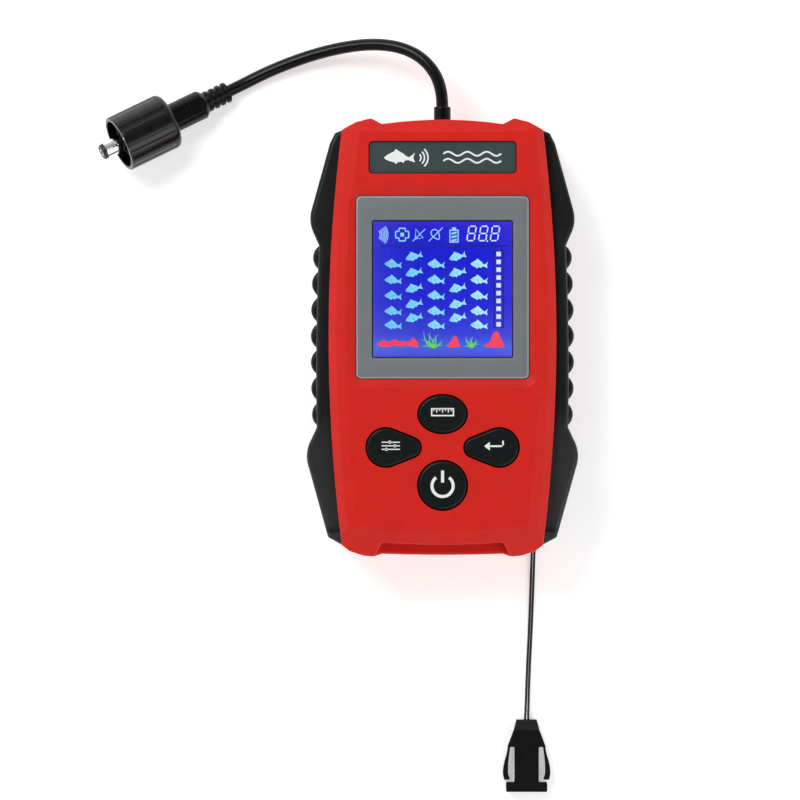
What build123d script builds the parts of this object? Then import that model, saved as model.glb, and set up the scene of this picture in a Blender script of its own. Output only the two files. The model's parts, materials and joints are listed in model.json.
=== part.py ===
from build123d import *
import math
import os

# Handheld fish finder lying on its back: +Z is out of the display, +Y is the cable end.
# The origin is on the surface it lies on, under the middle of the case. Millimetres.

# --- case -------------------------------------------------------------------------------------
HALF_LENGTH = 59.1
CASE_HEIGHT = 30.0
PARTING_Z = 14.0
SIDE_HALF_MIDDLE = 30.7      # case without its grips, widest at the middle of its length
SIDE_HALF_END = 27.1         # and at its corners
CORNER_Y = 56.0
WALL = 2.2
CROWN_Z = 29.7               # the crowned face at its middle
CROWN_EDGE = (26.0, 29.5)    # and where its sides begin to slope
RIM_INSET = 2.2              # a steep rim along each side, from SIDE_TOP_Z up to RIM_Z
RIM_Z = 28.8
SIDE_TOP_Z = 26.8
LOW_SLOPE_Y = -51.9          # the face's lower end slopes down from here, at CASE_HEIGHT
LOW_SLOPE = 0.734            # millimetres down for each along
LOW_SLOPE_BOW = 150.0        # radius of its bowed crease
LEDGE_Z = 19.6               # the ledge between the two lower lobes
LEDGE_RADIUS = 0.9
FRONT_CEILING_Z = 26.2       # underside of the front cover
BACK_WALL = 2.6
CAVITY_CORNER = 3.0
EDGE_RADIUS = 0.5

# --- display ----------------------------------------------------------------------------------
DISPLAY_Y = 13.5
BEZEL_WIDTH = 46.4
BEZEL_LENGTH = 49.0
BEZEL_CORNER = 1.3
BEZEL_TOP_Z = 28.5
BEZEL_LIP = 1.6
WINDOW_WIDTH = 38.0
WINDOW_LENGTH = 37.1
WINDOW_Y = 13.05
WINDOW_TOP_Z = 28.1
WINDOW_LOW_Z = 25.45         # a little above the LCD
DISH_WIDTH = 53.1            # of the sloped dish round the bezel, at the top of the case's box
DISH_LENGTH = 55.6
DISH_DEPTH = 1.8
DISH_SLOPE = 60              # degrees from upright
LCD_SIDE = 42.0
BOARD_Z = 16.0
BOARD_THICK = 1.6

# --- name plate -------------------------------------------------------------------------------
PLATE_Y = 48.5
PLATE_WIDTH = 39.7
PLATE_LENGTH = 8.6
PLATE_CORNER = 1.2
PLATE_THICK = 0.9
PLATE_TOP_Z = 29.0

# --- keys -------------------------------------------------------------------------------------
KEY_GAP = 0.35
KEY_TOP_Z = 30.0
KEY_FLANGE = 0.8
KEY_FLANGE_Z = 24.7
STEM_RADIUS = 1.8
STEM_Z = 21.0
UNIT_KEY = (0, -20.6)
UNIT_KEY_RADII = (6.5, 5.1)
SIDE_KEY_BIG = (15.3, -29.6, 5.15)
SIDE_KEY_SMALL = (8.6, -29.6, 2.7)
POWER_KEY = (0, -39.8)
POWER_KEY_RADIUS = 6.55
SWITCH_PLACES = (UNIT_KEY, (-14.0, -29.6), (14.0, -29.6), POWER_KEY)

# --- batteries and their door -------------------------------------------------------------------
CELL_RADIUS = 5.25
CELL_LENGTH = 44.5
CELL_PITCH = 10.55
CELL_Y = -21.5
CELL_Z = 7.9
BAY_HALF = 21.5
BAY_BOTTOM_Y = -47.5
BAY_TOP_Y = 4.5
BAY_WALL = 1.2
BAY_CEILING_Z = 14.0
DOOR_HALF = 21.9
DOOR_TOP_Y = 6.5
DOOR_THICK = 1.7
DOOR_GAP = 0.2
TONGUE = 0.9
TONGUE_Z = 0.9

# --- screws -----------------------------------------------------------------------------------
CASE_SCREWS = ((20.0, 49.0), (-20.0, 49.0), (17.0, -51.0), (-17.0, -51.0))
CASE_POST_RADIUS = 2.5
SCREW_RADIUS = 1.1
SCREW_HEAD_RADIUS = 2.0
SCREW_HEAD = 1.5
BOARD_SCREWS = ((22.0, 42.5), (-22.0, 42.5), (22.0, -45.0), (-22.0, -45.0))

# --- grips ------------------------------------------------------------------------------------
GRIP_BOTTOM_Z = 4.0
GRIP_TOP_Z = 25.0
RIB_COUNT = 7
RIB_PITCH = 7.05
RIB_MIDDLE_Y = 0.4
RIB_VALLEY_X = 34.0
RIB_PEAK_X = 35.5
RIB_BOW = 0.001              # the ribs stand on the waist's own bow
RIB_BOW_Y = -3.0
RIB_TOP_RADIUS = 1.1
RIB_BOTTOM_Z = 7.0
RIB_TOP_Z = 22.0
GRIP_WAIST_TOP = (33.3, 24.8)
GRIP_WAIST_BOTTOM = (33.9, -24.2)
GRIP_TOP_RADIUS = 1.2
GRIP_PROFILE = ((-70, 5.4), (-52.6, 22.4), (-21.0, GRIP_TOP_Z), (22.0, GRIP_TOP_Z), (56.0, 23.4),
                (70, 23.4))
RIM_LOWEST_Z = 18.0

# --- cable and plug -----------------------------------------------------------------------------
CABLE_RADIUS = 1.65
GLAND_RADIUS = 2.3
GLAND_END_Y = 62.6
CABLE_ROUTE = (
    (0.0, GLAND_END_Y, PARTING_Z),
    (0.0, 66.3, 14.0),
    (-1.9, 71.9, 13.7),
    (-6.0, 76.4, 12.5),
    (-11.9, 79.1, 10.4),
    (-19.6, 79.9, 7.7),
    (-28.4, 78.8, 4.9),
    (-37.5, 76.4, 2.9),
    (-47.3, 72.6, 1.75),
)
CABLE_STRAIGHT = 4.0         # its last stretch, in line with the plug
PLUG_DIRECTION = (-0.896, -0.444)
PLUG_TAIL = (-58.4, 67.0)
RELIEF_RADIUS = 2.9
RELIEF_CORE = 2.45
RELIEF_LENGTH = 6.9
RELIEF_RIBS = 4
RELIEF_PITCH = 1.85
RELIEF_RIB = 1.1
SHOULDER_START = 8.3         # the moulded body is full size from here
NUT_RADIUS = 7.8
NUT_START = 18.1
NUT_LENGTH = 15.7
NUT_BORE_RADIUS = 6.7
NUT_REAR_HOLE = 4.3
NUT_REAR_WALL = 1.6
NUT_FLUTES = 8
PLUG_BODY_RADIUS = 4.0
PLUG_FLAT = 3.5              # half the thickness between its two finger flats
PLUG_RIDGES = 5
PLUG_RIDGE_PITCH = 1.3
PLUG_FLANGE_RADIUS = 6.2
PLUG_FLANGE = 1.5
PLUG_NOSE_RADIUS = 4.4
SEAL_PLACE = 22.9
SPIGOT = 2.0                 # length of the barrel's foot inside the body
BARREL_RADIUS = 2.35
BARREL_BORE = 1.3
SPIGOT_RADIUS = 1.75
INSULATOR_TIP_RADIUS = 2.15
BARREL_START = 24.0
BARREL_END = 38.2
PLUG_END = 39.2

# --- lanyard ------------------------------------------------------------------------------------
EYE_X = 24.8
EYE_Y = -56.4
EYE_Z = 2.2
EYE_HALF = 1.3
BAR_RADIUS = 0.7
STRAND_RADIUS = 0.32
STRAND_STATIONS = (          # middle of the pair, half the space between the strands, and place
    (24.80, 0.36, -57.6, 2.0),
    (24.68, 0.36, -61.6, 1.1),
    (24.47, 0.36, -68.5, 0.5),
    (24.04, 0.36, -79.5, 0.36),
    (23.45, 0.36, -91.0, 0.5),
    (23.18, 0.36, -99.5, 1.2),
    (23.00, 0.41, -103.8, 1.95),
    (23.00, 0.75, -106.0, 2.2),
)
BUCKLE_X = 23.0
BUCKLE_Y = -103.8
BUCKLE_THICK = 4.4
BUCKLE_LENGTH = 19.6
HEAD_HALF = 2.75             # of its head at the cord's end
HEAD_FACET = (3.5, -2.8)     # where the head's sloped facet ends
SHOULDER = (5.15, -7.2)      # the head's widest, where the slots beside the blade begin
BLADE_HALF = 3.3
FOOT_HALF = 5.6
FOOT_Y = -17.0
HINGE = (4.85, -8.0)         # root of the right prong
HINGE_RADIUS = 0.3
PRONG_END_Y = -16.3
PRONG_INSET = 0.6            # the prongs are thinner than the buckle by this on each face
LOOP_RADIUS = 0.75
LOOP_DEPTH = 3.0
LOOP_POST_RADIUS = 0.38


UP = (0, 0, 1)


def save(name, shape):
    export_step(shape, f"parts/{name}.step")


def block(width, length, low, high, x=0.0, y=0.0, corner=0.0):
    """A vertical block between two heights, with rounded corners where asked."""
    outline = RectangleRounded(width, length, corner) if corner else Rectangle(width, length)
    return Pos(x, y, low) * extrude(outline, high - low)


def post(radius, low, high, x=0.0, y=0.0):
    return Pos(x, y, low) * extrude(Circle(radius), high - low)


def mirrored(shape):
    return mirror(shape, about=Plane.YZ)


# --- case outlines and solids -------------------------------------------------------------------
TOP_MIDDLE_Y = 58.7
TOP_DIP = (16.3, 57.5)
LOBE_TOP = ((19.3, HALF_LENGTH), (23.2, 58.1))
LOBE_BOTTOM = ((25.0, -57.6), (21.4, -58.8), (18.4, -HALF_LENGTH))
NOTCH = (16.3, -55.2)
NOTCH_MIDDLE_Y = -55.8
LEDGE_MIDDLE_Y = -58.7
LEDGE_END_Y = -58.4
BACK_FLAT_HALF = 28.0        # the back is flat within these, and chamfered outside them
BACK_FLAT_Y = 57.0
BACK_CHAMFER_Z = 3.2
TOP_SLOPE_Y = 55.0
TOP_SLOPE_Z = 26.4
SIDE_BOW = SIDE_HALF_MIDDLE - SIDE_HALF_END
SIDE_RADIUS = (CORNER_Y**2 + SIDE_BOW**2) / (2 * SIDE_BOW)
SIDE_CENTRE_X = SIDE_HALF_MIDDLE - SIDE_RADIUS


def side_arc(inset=0.0):
    end = SIDE_HALF_END - inset
    return ThreePointArc((end, CORNER_Y), (SIDE_HALF_MIDDLE - inset, 0), (end, -CORNER_Y))


def case_outline(notched):
    """The case seen from the front; the front cover is notched between its two lower lobes."""
    corner = (SIDE_HALF_END, CORNER_Y)
    low_corner = (SIDE_HALF_END, -CORNER_Y)
    inner = NOTCH if notched else (NOTCH[0], LEDGE_END_Y)
    middle_y = NOTCH_MIDDLE_Y if notched else LEDGE_MIDDLE_Y
    right = [
        Polyline(TOP_DIP, *LOBE_TOP, corner),
        side_arc(),
        Polyline(low_corner, *LOBE_BOTTOM, inner),
    ]
    left = [mirrored(line) for line in right]
    top = ThreePointArc(TOP_DIP, (0, TOP_MIDDLE_Y), (-TOP_DIP[0], TOP_DIP[1]))
    bottom = ThreePointArc(inner, (0, middle_y), (-inner[0], inner[1]))
    outline = make_face([top, bottom, *right, *left])
    soft = [v for v in outline.vertices() if abs(v.X) < SIDE_HALF_END - 0.5]
    return fillet(soft, 1.0)


def cavity_outline():
    """The room inside the walls: the sides' arcs moved in by the wall, and flat ends."""
    top_y = 56.0
    bottom_y = -53.0
    inset = WALL
    arc = ThreePointArc((25.2, top_y), (SIDE_HALF_MIDDLE - inset, 0), (25.4, bottom_y))
    lines = [arc, mirrored(arc), Line((25.2, top_y), (-25.2, top_y)),
             Line((25.4, bottom_y), (-25.4, bottom_y))]
    outline = make_face(lines)
    return fillet(outline.vertices(), CAVITY_CORNER)


def across_section():
    """The case's section across: a crowned face, and a chamfered back."""
    wide = SIDE_HALF_MIDDLE + 1
    edge_x, edge_z = CROWN_EDGE
    crown = ThreePointArc((edge_x, edge_z), (0, CROWN_Z), (-edge_x, edge_z))
    right = Polyline((edge_x, edge_z), (wide, edge_z - 0.3), (wide, BACK_CHAMFER_Z),
                     (BACK_FLAT_HALF, 0))
    section = make_face([crown, right, mirrored(right),
                         Line((BACK_FLAT_HALF, 0), (-BACK_FLAT_HALF, 0))])
    return extrude(Plane.XZ * section, HALF_LENGTH + 1, both=True)


def along_section():
    """The case's section along: level, with a slope at the face's top end and both ends of the back."""
    end = HALF_LENGTH + 1
    section = make_face(Polyline(
        (-end, BACK_CHAMFER_Z), (-end, CASE_HEIGHT), (TOP_SLOPE_Y, CASE_HEIGHT), (end, TOP_SLOPE_Z),
        (end, BACK_CHAMFER_Z), (BACK_FLAT_Y, 0), (-BACK_FLAT_Y, 0), close=True))
    return extrude(Plane.YZ * section, SIDE_HALF_MIDDLE + 2, both=True)


def stacked(outline_at, stations):
    """A solid through the outlines at each (size, height), with straight sides between them."""
    return loft([Pos(0, 0, height) * outline_at(size) for size, height in stations], ruled=True)


def sides_inset(inset):
    """Both sides' arcs, carried past the case's ends and moved in by the inset."""
    reach = 75.0
    end_x = SIDE_CENTRE_X + math.sqrt(SIDE_RADIUS**2 - reach**2) - inset
    arc = ThreePointArc((end_x, reach), (SIDE_HALF_MIDDLE - inset, 0), (end_x, -reach))
    return make_face([arc, mirrored(arc), Line((end_x, reach), (-end_x, reach)),
                      Line((end_x, -reach), (-end_x, -reach))])


def side_slopes():
    """Along each side of the face a gentle band, then a steep rim; both follow the side's arc."""
    outside = 5.0
    inside = 7.0
    edge_inset = SIDE_HALF_MIDDLE - CROWN_EDGE[0]
    steep = (RIM_Z - SIDE_TOP_Z) / RIM_INSET
    gentle = (CROWN_EDGE[1] - RIM_Z) / (edge_inset - RIM_INSET)
    return stacked(sides_inset, (
        (-outside, -1),
        (-outside, SIDE_TOP_Z - steep * outside),
        (RIM_INSET, RIM_Z),
        (inside, RIM_Z + gentle * (inside - RIM_INSET)),
    ))


def lower_end(y):
    """Room above a bowed line across the case at this height along it."""
    half = 45.0
    bow = half**2 / (2 * LOW_SLOPE_BOW)
    arc = ThreePointArc((-half, y + bow), (0, y), (half, y + bow))
    return make_face([arc, Polyline((half, y + bow), (half, 90), (-half, 90), (-half, y + bow))])


def lower_slope():
    """The slope at the lower end of the face, with a bowed crease."""
    outside = 14.0
    inside = 3.0
    return stacked(lower_end, (
        (LOW_SLOPE_Y - outside, -1),
        (LOW_SLOPE_Y - outside, CASE_HEIGHT - LOW_SLOPE * outside),
        (LOW_SLOPE_Y + inside, CASE_HEIGHT + LOW_SLOPE * inside),
    ))


def key_outline(name, grow=0.0):
    """A key's outline, or the same outline grown all round."""
    if name == "unit":
        return Pos(*UNIT_KEY) * Ellipse(UNIT_KEY_RADII[0] + grow, UNIT_KEY_RADII[1] + grow)
    if name == "power":
        return Pos(*POWER_KEY) * Circle(POWER_KEY_RADIUS + grow)
    enter = teardrop(SIDE_KEY_BIG, SIDE_KEY_SMALL, grow)
    return enter if name == "enter" else mirrored(enter)


def teardrop(big, small, grow):
    """Two circles joined by their outer tangents; the big one is on the +X side."""
    big_x, y, big_radius = big
    small_x, _, small_radius = small
    big_radius += grow
    small_radius += grow
    lean = math.acos((big_radius - small_radius) / (big_x - small_x))
    over = Vector(-math.cos(lean), math.sin(lean))
    under = Vector(-math.cos(lean), -math.sin(lean))
    big_middle = Vector(big_x, y)
    small_middle = Vector(small_x, y)
    return make_face([
        ThreePointArc(big_middle + over * big_radius, (big_x + big_radius, y),
                      big_middle + under * big_radius),
        Line(big_middle + under * big_radius, small_middle + under * small_radius),
        ThreePointArc(small_middle + under * small_radius, (small_x - small_radius, y),
                      small_middle + over * small_radius),
        Line(small_middle + over * small_radius, big_middle + over * big_radius),
    ])


KEY_NAMES = ("unit", "setup", "enter", "power")


def front_cover():
    body = extrude(Pos(0, 0, LEDGE_Z) * case_outline(True), CASE_HEIGHT - LEDGE_Z)
    body = body & across_section() & along_section() & side_slopes() & lower_slope()
    outer_edges = body.edges().filter_by(lambda edge: edge.center().Z > LEDGE_Z + 1)
    body = fillet(outer_edges, EDGE_RADIUS)
    base = extrude(Pos(0, 0, PARTING_Z) * case_outline(False), LEDGE_Z - PARTING_Z)
    ledge_rim = base.edges().filter_by(on_ledge_rim)
    body += fillet(ledge_rim, LEDGE_RADIUS)
    body -= extrude(Pos(0, 0, PARTING_Z) * cavity_outline(), FRONT_CEILING_Z - PARTING_Z)
    dish = Pos(0, DISPLAY_Y, CASE_HEIGHT) * extrude(
        RectangleRounded(DISH_WIDTH, DISH_LENGTH, 4.5), DISH_DEPTH, dir=(0, 0, -1), taper=DISH_SLOPE)
    body -= dish
    body -= block(BEZEL_WIDTH + 0.2, BEZEL_LENGTH + 0.2, 20, CASE_HEIGHT, 0, DISPLAY_Y, BEZEL_CORNER)
    body -= block(PLATE_WIDTH + 0.2, PLATE_LENGTH + 0.2, PLATE_TOP_Z - PLATE_THICK, CASE_HEIGHT,
                  0, PLATE_Y, PLATE_CORNER)
    for name in KEY_NAMES:
        body -= extrude(Pos(0, 0, 20) * key_outline(name, KEY_GAP), 12, dir=UP)
    for x, y in CASE_SCREWS:
        body += post(CASE_POST_RADIUS, PARTING_Z + 0.5, FRONT_CEILING_Z + 0.3, x, y)
        body -= post(SCREW_RADIUS, PARTING_Z, 23.0, x, y)
    for x, y in BOARD_SCREWS:
        body += post(2.2, BOARD_Z + BOARD_THICK, FRONT_CEILING_Z + 0.3, x, y)
        body -= post(0.8, BOARD_Z, 24.0, x, y)
    body -= Pos(0, 50, PARTING_Z) * Rot(-90, 0, 0) * extrude(Circle(GLAND_RADIUS), 15)
    return body - case_seal()


def on_ledge_rim(edge):
    middle = edge.position_at(0.5)
    return abs(middle.X) < 1 and middle.Y < 0 and middle.Z > LEDGE_Z - 0.1


def back_outer():
    """The back half as a solid, before it is hollowed."""
    body = extrude(case_outline(False), PARTING_Z) & across_section() & along_section()
    outer_edges = body.edges().filter_by(lambda edge: edge.center().Z < PARTING_Z - 4)
    return fillet(outer_edges, EDGE_RADIUS)


def door_space(grow):
    """The door's room in the back wall; it runs out of the lower end, with a tongue each side."""
    length = HALF_LENGTH + 1 + DOOR_TOP_Y + grow
    middle_y = DOOR_TOP_Y + grow - length / 2
    plate = block(2 * (DOOR_HALF + grow), length, -1, DOOR_THICK + grow / 2, 0, middle_y)
    tongues = block(2 * (DOOR_HALF + TONGUE + grow), length, TONGUE_Z - grow / 2,
                    DOOR_THICK + grow / 2, 0, middle_y)
    return plate + tongues


def back_cover():
    outer = back_outer()
    room = extrude(Pos(0, 0, BACK_WALL) * cavity_outline(), PARTING_Z)
    body = outer - room
    bay_length = BAY_TOP_Y - BAY_BOTTOM_Y
    bay_y = (BAY_TOP_Y + BAY_BOTTOM_Y) / 2
    body += block(2 * (BAY_HALF + BAY_WALL), bay_length + 2 * BAY_WALL, BACK_WALL - 0.5, BAY_CEILING_Z,
                  0, bay_y)
    body -= block(2 * BAY_HALF, bay_length, -1, BAY_CEILING_Z - 0.8, 0, bay_y)
    for x, y in CASE_SCREWS:
        body += post(CASE_POST_RADIUS + 0.5, BACK_WALL - 0.5, PARTING_Z, x, y)
    body -= door_space(DOOR_GAP)
    for x, y in CASE_SCREWS:
        body -= post(SCREW_HEAD_RADIUS + 0.3, -1, BACK_WALL + SCREW_HEAD, x, y)
        body -= post(SCREW_RADIUS + 0.15, 0, PARTING_Z + 1, x, y)
    body -= Pos(0, 50, PARTING_Z) * Rot(-90, 0, 0) * extrude(Circle(GLAND_RADIUS), 15)
    body -= block(2 * EYE_HALF, 5.0, -1, 5.0, EYE_X, -HALF_LENGTH + 2)
    return body - eye_bar() - case_seal()


def eye_bar():
    length = 3.4
    return Pos(EYE_X - length / 2, EYE_Y, EYE_Z) * Rot(0, 90, 0) * extrude(Circle(BAR_RADIUS), length)


def battery_door():
    body = back_outer() & door_space(0.0)
    body += block(2 * (BAY_HALF - 0.4), 1.2, DOOR_THICK - 0.2, DOOR_THICK + 0.6, 0, BAY_TOP_Y - 1.2)
    for row in range(6):
        y = -34.0 - 2.2 * row
        body -= block(22 - 2 * row, 0.9, -1, 0.5, 0, y, 0.4)
    return body


def case_seal():
    """A flat ring of rubber in a groove halfway through the wall at the parting line."""
    ring = offset(cavity_outline(), amount=1.2) - offset(cavity_outline(), amount=0.5)
    ring_solid = extrude(Pos(0, 0, PARTING_Z - 0.6) * ring, 1.2)
    return ring_solid - block(8, 8, 10, 18, 0, 57)


# --- grips --------------------------------------------------------------------------------------
def grip_outline():
    """Right grip seen from the front: a wide shoulder at each end and a waist between them."""
    outer = Polyline((SIDE_HALF_END, CORNER_Y), (29.0, 55.2), (30.4, 52.4), (35.3, 34.6))
    upper_shoulder = ThreePointArc((35.3, 34.6), (35.65, 31.6), (34.6, 27.8))
    lower_shoulder = ThreePointArc((35.4, -27.4), (36.6, -31.4), (36.1, -35.0))
    waist = ThreePointArc(GRIP_WAIST_TOP, (34.0, 0), GRIP_WAIST_BOTTOM)
    lines = [
        outer,
        upper_shoulder,
        Line((34.6, 27.8), GRIP_WAIST_TOP),
        waist,
        Line(GRIP_WAIST_BOTTOM, (35.4, -27.4)),
        lower_shoulder,
        Polyline((36.1, -35.0), (30.9, -53.9), (SIDE_HALF_END, -CORNER_Y)),
        side_arc(),
    ]
    outline = make_face(lines)
    soft = [v for v in outline.vertices() if v.X > SIDE_HALF_END + 0.5]
    return fillet(soft, 1.0)


def grip_rib(index):
    """A rounded rib low on the waist: a squat column, blunt above and tapered below."""
    y = RIB_MIDDLE_Y + RIB_PITCH * ((RIB_COUNT - 1) / 2 - index)
    half = RIB_PITCH / 2 - 0.35
    inward = RIB_BOW * (y - RIB_BOW_Y) ** 2
    valley_x = RIB_VALLEY_X - inward
    peak_x = RIB_PEAK_X - inward
    root_x = valley_x - 1.5
    outline = make_face([
        Line((root_x, y - half), (root_x, y + half)),
        Line((root_x, y + half), (valley_x, y + half)),
        ThreePointArc((valley_x, y + half), (peak_x, y + 0.6), (valley_x - 0.1, y - half)),
        Line((valley_x - 0.1, y - half), (root_x, y - half)),
    ])
    column = extrude(Pos(0, 0, RIB_BOTTOM_Z) * outline, RIB_TOP_Z - RIB_BOTTOM_Z)
    rims = column.edges().filter_by(
        lambda edge: edge.center().X > valley_x + 0.3 and edge.geom_type == GeomType.CIRCLE)
    return fillet(rims, RIB_TOP_RADIUS)


def grip_profile():
    """The grip's section along: level at the waist, falling to each end, with a short end facet."""
    profile = make_face(Polyline(*GRIP_PROFILE, (70, 0), (-70, 0), close=True))
    return extrude(Plane.YZ * profile, SIDE_HALF_MIDDLE * 2, both=True)


def right_grip():
    body = extrude(Pos(0, 0, GRIP_BOTTOM_Z) * grip_outline(), GRIP_TOP_Z - GRIP_BOTTOM_Z)
    body &= grip_profile()
    rims = body.edges().filter_by(on_grip_rim)
    body = fillet(rims, GRIP_TOP_RADIUS)
    low_corner = Polyline((30.5, GRIP_BOTTOM_Z - 0.1), (38.5, GRIP_BOTTOM_Z - 0.1), (38.5, 9.5), close=True)
    under_slope = extrude(Plane.XZ * make_face(low_corner), HALF_LENGTH, both=True)
    body -= under_slope
    for index in range(RIB_COUNT):
        body += grip_rib(index)
    return body


def on_grip_rim(edge):
    """Whether an edge of the grip's top runs round its outside."""
    start = edge.position_at(0)
    end = edge.position_at(1)
    level = min(start.Z, end.Z) > RIM_LOWEST_Z
    along_case = all(abs(math.hypot(point.X - SIDE_CENTRE_X, point.Y) - SIDE_RADIUS) < 0.05
                     for point in (start, edge.position_at(0.5), end))
    crease = abs(start.Y - end.Y) < 0.01
    return level and not along_case and not crease


# --- display stack ------------------------------------------------------------------------------
def display_bezel():
    body = block(BEZEL_WIDTH, BEZEL_LENGTH, FRONT_CEILING_Z - 0.6, BEZEL_TOP_Z, 0, DISPLAY_Y,
                 BEZEL_CORNER)
    body = chamfer(body.faces().sort_by(Axis.Z)[-1].edges(), 0.3)
    body += block(BEZEL_WIDTH + 2 * BEZEL_LIP, BEZEL_LENGTH + 2 * BEZEL_LIP, FRONT_CEILING_Z - 1.0,
                  FRONT_CEILING_Z, 0, DISPLAY_Y, BEZEL_CORNER + 1)
    body -= block(WINDOW_WIDTH, WINDOW_LENGTH, 20, CASE_HEIGHT, 0, WINDOW_Y, 0.6)
    body -= block(WINDOW_WIDTH + 2, WINDOW_LENGTH + 2, 20, FRONT_CEILING_Z, 0, WINDOW_Y, 1.0)
    return body


def display_window():
    body = block(WINDOW_WIDTH, WINDOW_LENGTH, FRONT_CEILING_Z, WINDOW_TOP_Z, 0, WINDOW_Y, 0.6)
    return body + block(WINDOW_WIDTH + 2, WINDOW_LENGTH + 2, WINDOW_LOW_Z, FRONT_CEILING_Z,
                        0, WINDOW_Y, 1.0)


def lcd_panel():
    return block(LCD_SIDE, LCD_SIDE, 22.6, 25.2, 0, DISPLAY_Y)


def backlight():
    return block(LCD_SIDE, LCD_SIDE, 20.2, 22.6, 0, DISPLAY_Y)


def lcd_holder():
    low = BOARD_Z + BOARD_THICK
    body = block(LCD_SIDE + 3, LCD_SIDE + 3, low, 24.6, 0, DISPLAY_Y, 1.0)
    body -= block(LCD_SIDE, LCD_SIDE, 20.2, 30, 0, DISPLAY_Y)
    return body - block(LCD_SIDE - 4, LCD_SIDE - 4, low - 1, 30, 0, DISPLAY_Y)


def name_plate():
    body = block(PLATE_WIDTH, PLATE_LENGTH, PLATE_TOP_Z - PLATE_THICK, PLATE_TOP_Z, 0, PLATE_Y,
                 PLATE_CORNER)
    return chamfer(body.faces().sort_by(Axis.Z)[-1].edges(), 0.2)


# --- board and what it carries --------------------------------------------------------------------
def main_board():
    body = block(50.0, 92.8, BOARD_Z, BOARD_Z + BOARD_THICK, 0, -1.4, 1.5)
    for x, y in BOARD_SCREWS:
        body -= post(1.1, 0, 20, x, y)
    return body


def tact_switches():
    low = BOARD_Z + BOARD_THICK
    switches = []
    for x, y in SWITCH_PLACES:
        switches.append(block(6, 6, low, low + 1.8, x, y, 0.4) + post(1.5, low, low + 2.3, x, y))
    return Compound(children=[s.solid() for s in switches])


def buzzer():
    body = post(4.5, BOARD_Z + BOARD_THICK, 23.0, -11.0, 41.0)
    return body - post(0.8, 22.0, 24.0, -11.0, 41.0)


def sonar_chip():
    body = block(10, 10, BOARD_Z - 1.2, BOARD_Z, -8, 24)
    for side in range(4):
        for pin in range(8):
            lead = Pos(5.5, -3.5 + pin, BOARD_Z - 0.3) * Box(1.2, 0.4, 0.6)
            body += Pos(-8, 24, 0) * Rot(0, 0, 90 * side) * lead
    return body


def pulse_transformer():
    core = block(9, 7, BOARD_Z - 8, BOARD_Z, 12, 30)
    winding = block(6, 9, BOARD_Z - 7, BOARD_Z - 1, 12, 30, 1.0)
    return core + winding


def capacitors():
    cans = [post(3.1, BOARD_Z - 9, BOARD_Z, x, 14.0) for x in (8.0, 16.0)]
    return Compound(children=[c.solid() for c in cans])


def lead_connector():
    return block(7, 4.5, BOARD_Z - 5, BOARD_Z, 4, 41)


def lead_wires():
    wires = []
    for x in (3.0, 5.0):
        start = (x - 4.0, 54.4, PARTING_Z)
        path = FilletPolyline(start, (x - 4.0, 51.4, PARTING_Z), (x, 46.4, PARTING_Z),
                              (x, 43.25, PARTING_Z),
                              radius=3)
        wires.append(sweep(Plane(start, z_dir=path % 0) * Circle(0.5), path).solid())
    return Compound(children=wires)


def screw(x, y, low, high, radius, head_radius, head):
    """A pan-head screw pointing up, its head downward at low, with a cross recess."""
    body = post(head_radius, low, low + head, x, y) + post(radius, low, high, x, y)
    for angle in (0, 90):
        body -= Pos(x, y, low) * Rot(0, 0, angle) * Box(2.2, 0.5, 1.4)
    return body.solid()


def case_screws():
    low = BACK_WALL
    return Compound(children=[
        screw(x, y, low, 22.0, SCREW_RADIUS, SCREW_HEAD_RADIUS, SCREW_HEAD) for x, y in CASE_SCREWS])


def board_screws():
    return Compound(children=[
        screw(x, y, BOARD_Z - 1.2, 23.0, 0.8, 1.6, 1.2) for x, y in BOARD_SCREWS])


# --- keys ---------------------------------------------------------------------------------------
def key(name):
    x, y = SWITCH_PLACES[KEY_NAMES.index(name)]
    cap = extrude(Pos(0, 0, KEY_FLANGE_Z) * key_outline(name), KEY_TOP_Z - KEY_FLANGE_Z, dir=UP)
    cap = fillet(cap.faces().sort_by(Axis.Z)[-1].edges(), 0.6)
    flange = extrude(Pos(0, 0, KEY_FLANGE_Z) * key_outline(name, KEY_FLANGE),
                     FRONT_CEILING_Z - 0.1 - KEY_FLANGE_Z, dir=UP)
    return cap + flange + post(STEM_RADIUS, STEM_Z, KEY_FLANGE_Z + 0.5, x, y)


def keypad_mat():
    body = block(48, 34, KEY_FLANGE_Z + 0.2, FRONT_CEILING_Z, 0, -31.0, 3.0)
    for name in KEY_NAMES:
        body -= extrude(Pos(0, 0, 20) * key_outline(name, KEY_FLANGE + 0.35), 10, dir=UP)
    for x, y in BOARD_SCREWS:
        body -= post(2.6, 20, 30, x, y)
    return body


# --- batteries ------------------------------------------------------------------------------------
CELL_XS = [CELL_PITCH * (column - 1.5) for column in range(4)]


def battery_cells():
    cells = []
    for index, x in enumerate(CELL_XS):
        turn = 1 if index % 2 else -1
        can = extrude(Circle(CELL_RADIUS), CELL_LENGTH - 0.9) + extrude(Circle(1.9), CELL_LENGTH)
        start_y = CELL_Y - turn * CELL_LENGTH / 2
        cells.append((Pos(x, start_y, CELL_Z) * Rot(-90 * turn, 0, 0) * can).solid())
    return Compound(children=cells)


def spring_contacts():
    """One coil spring at the flat end of each cell, on its plate."""
    springs = []
    for index, x in enumerate(CELL_XS):
        turn = 1 if index % 2 else -1
        wall_y = BAY_BOTTOM_Y if turn == 1 else BAY_TOP_Y
        cell_y = CELL_Y - turn * CELL_LENGTH / 2
        length = abs(cell_y - wall_y)
        plate = Box(7, 0.4, 8)
        coil = Cone(2.6, 1.6, length) - Cone(2.1, 1.1, length)
        springs.append((Pos(x, wall_y + turn * 0.2, CELL_Z) * plate
                        + Pos(x, wall_y + turn * length / 2, CELL_Z) * Rot(-90 * turn, 0, 0) * coil).solid())
    return Compound(children=springs)


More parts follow.
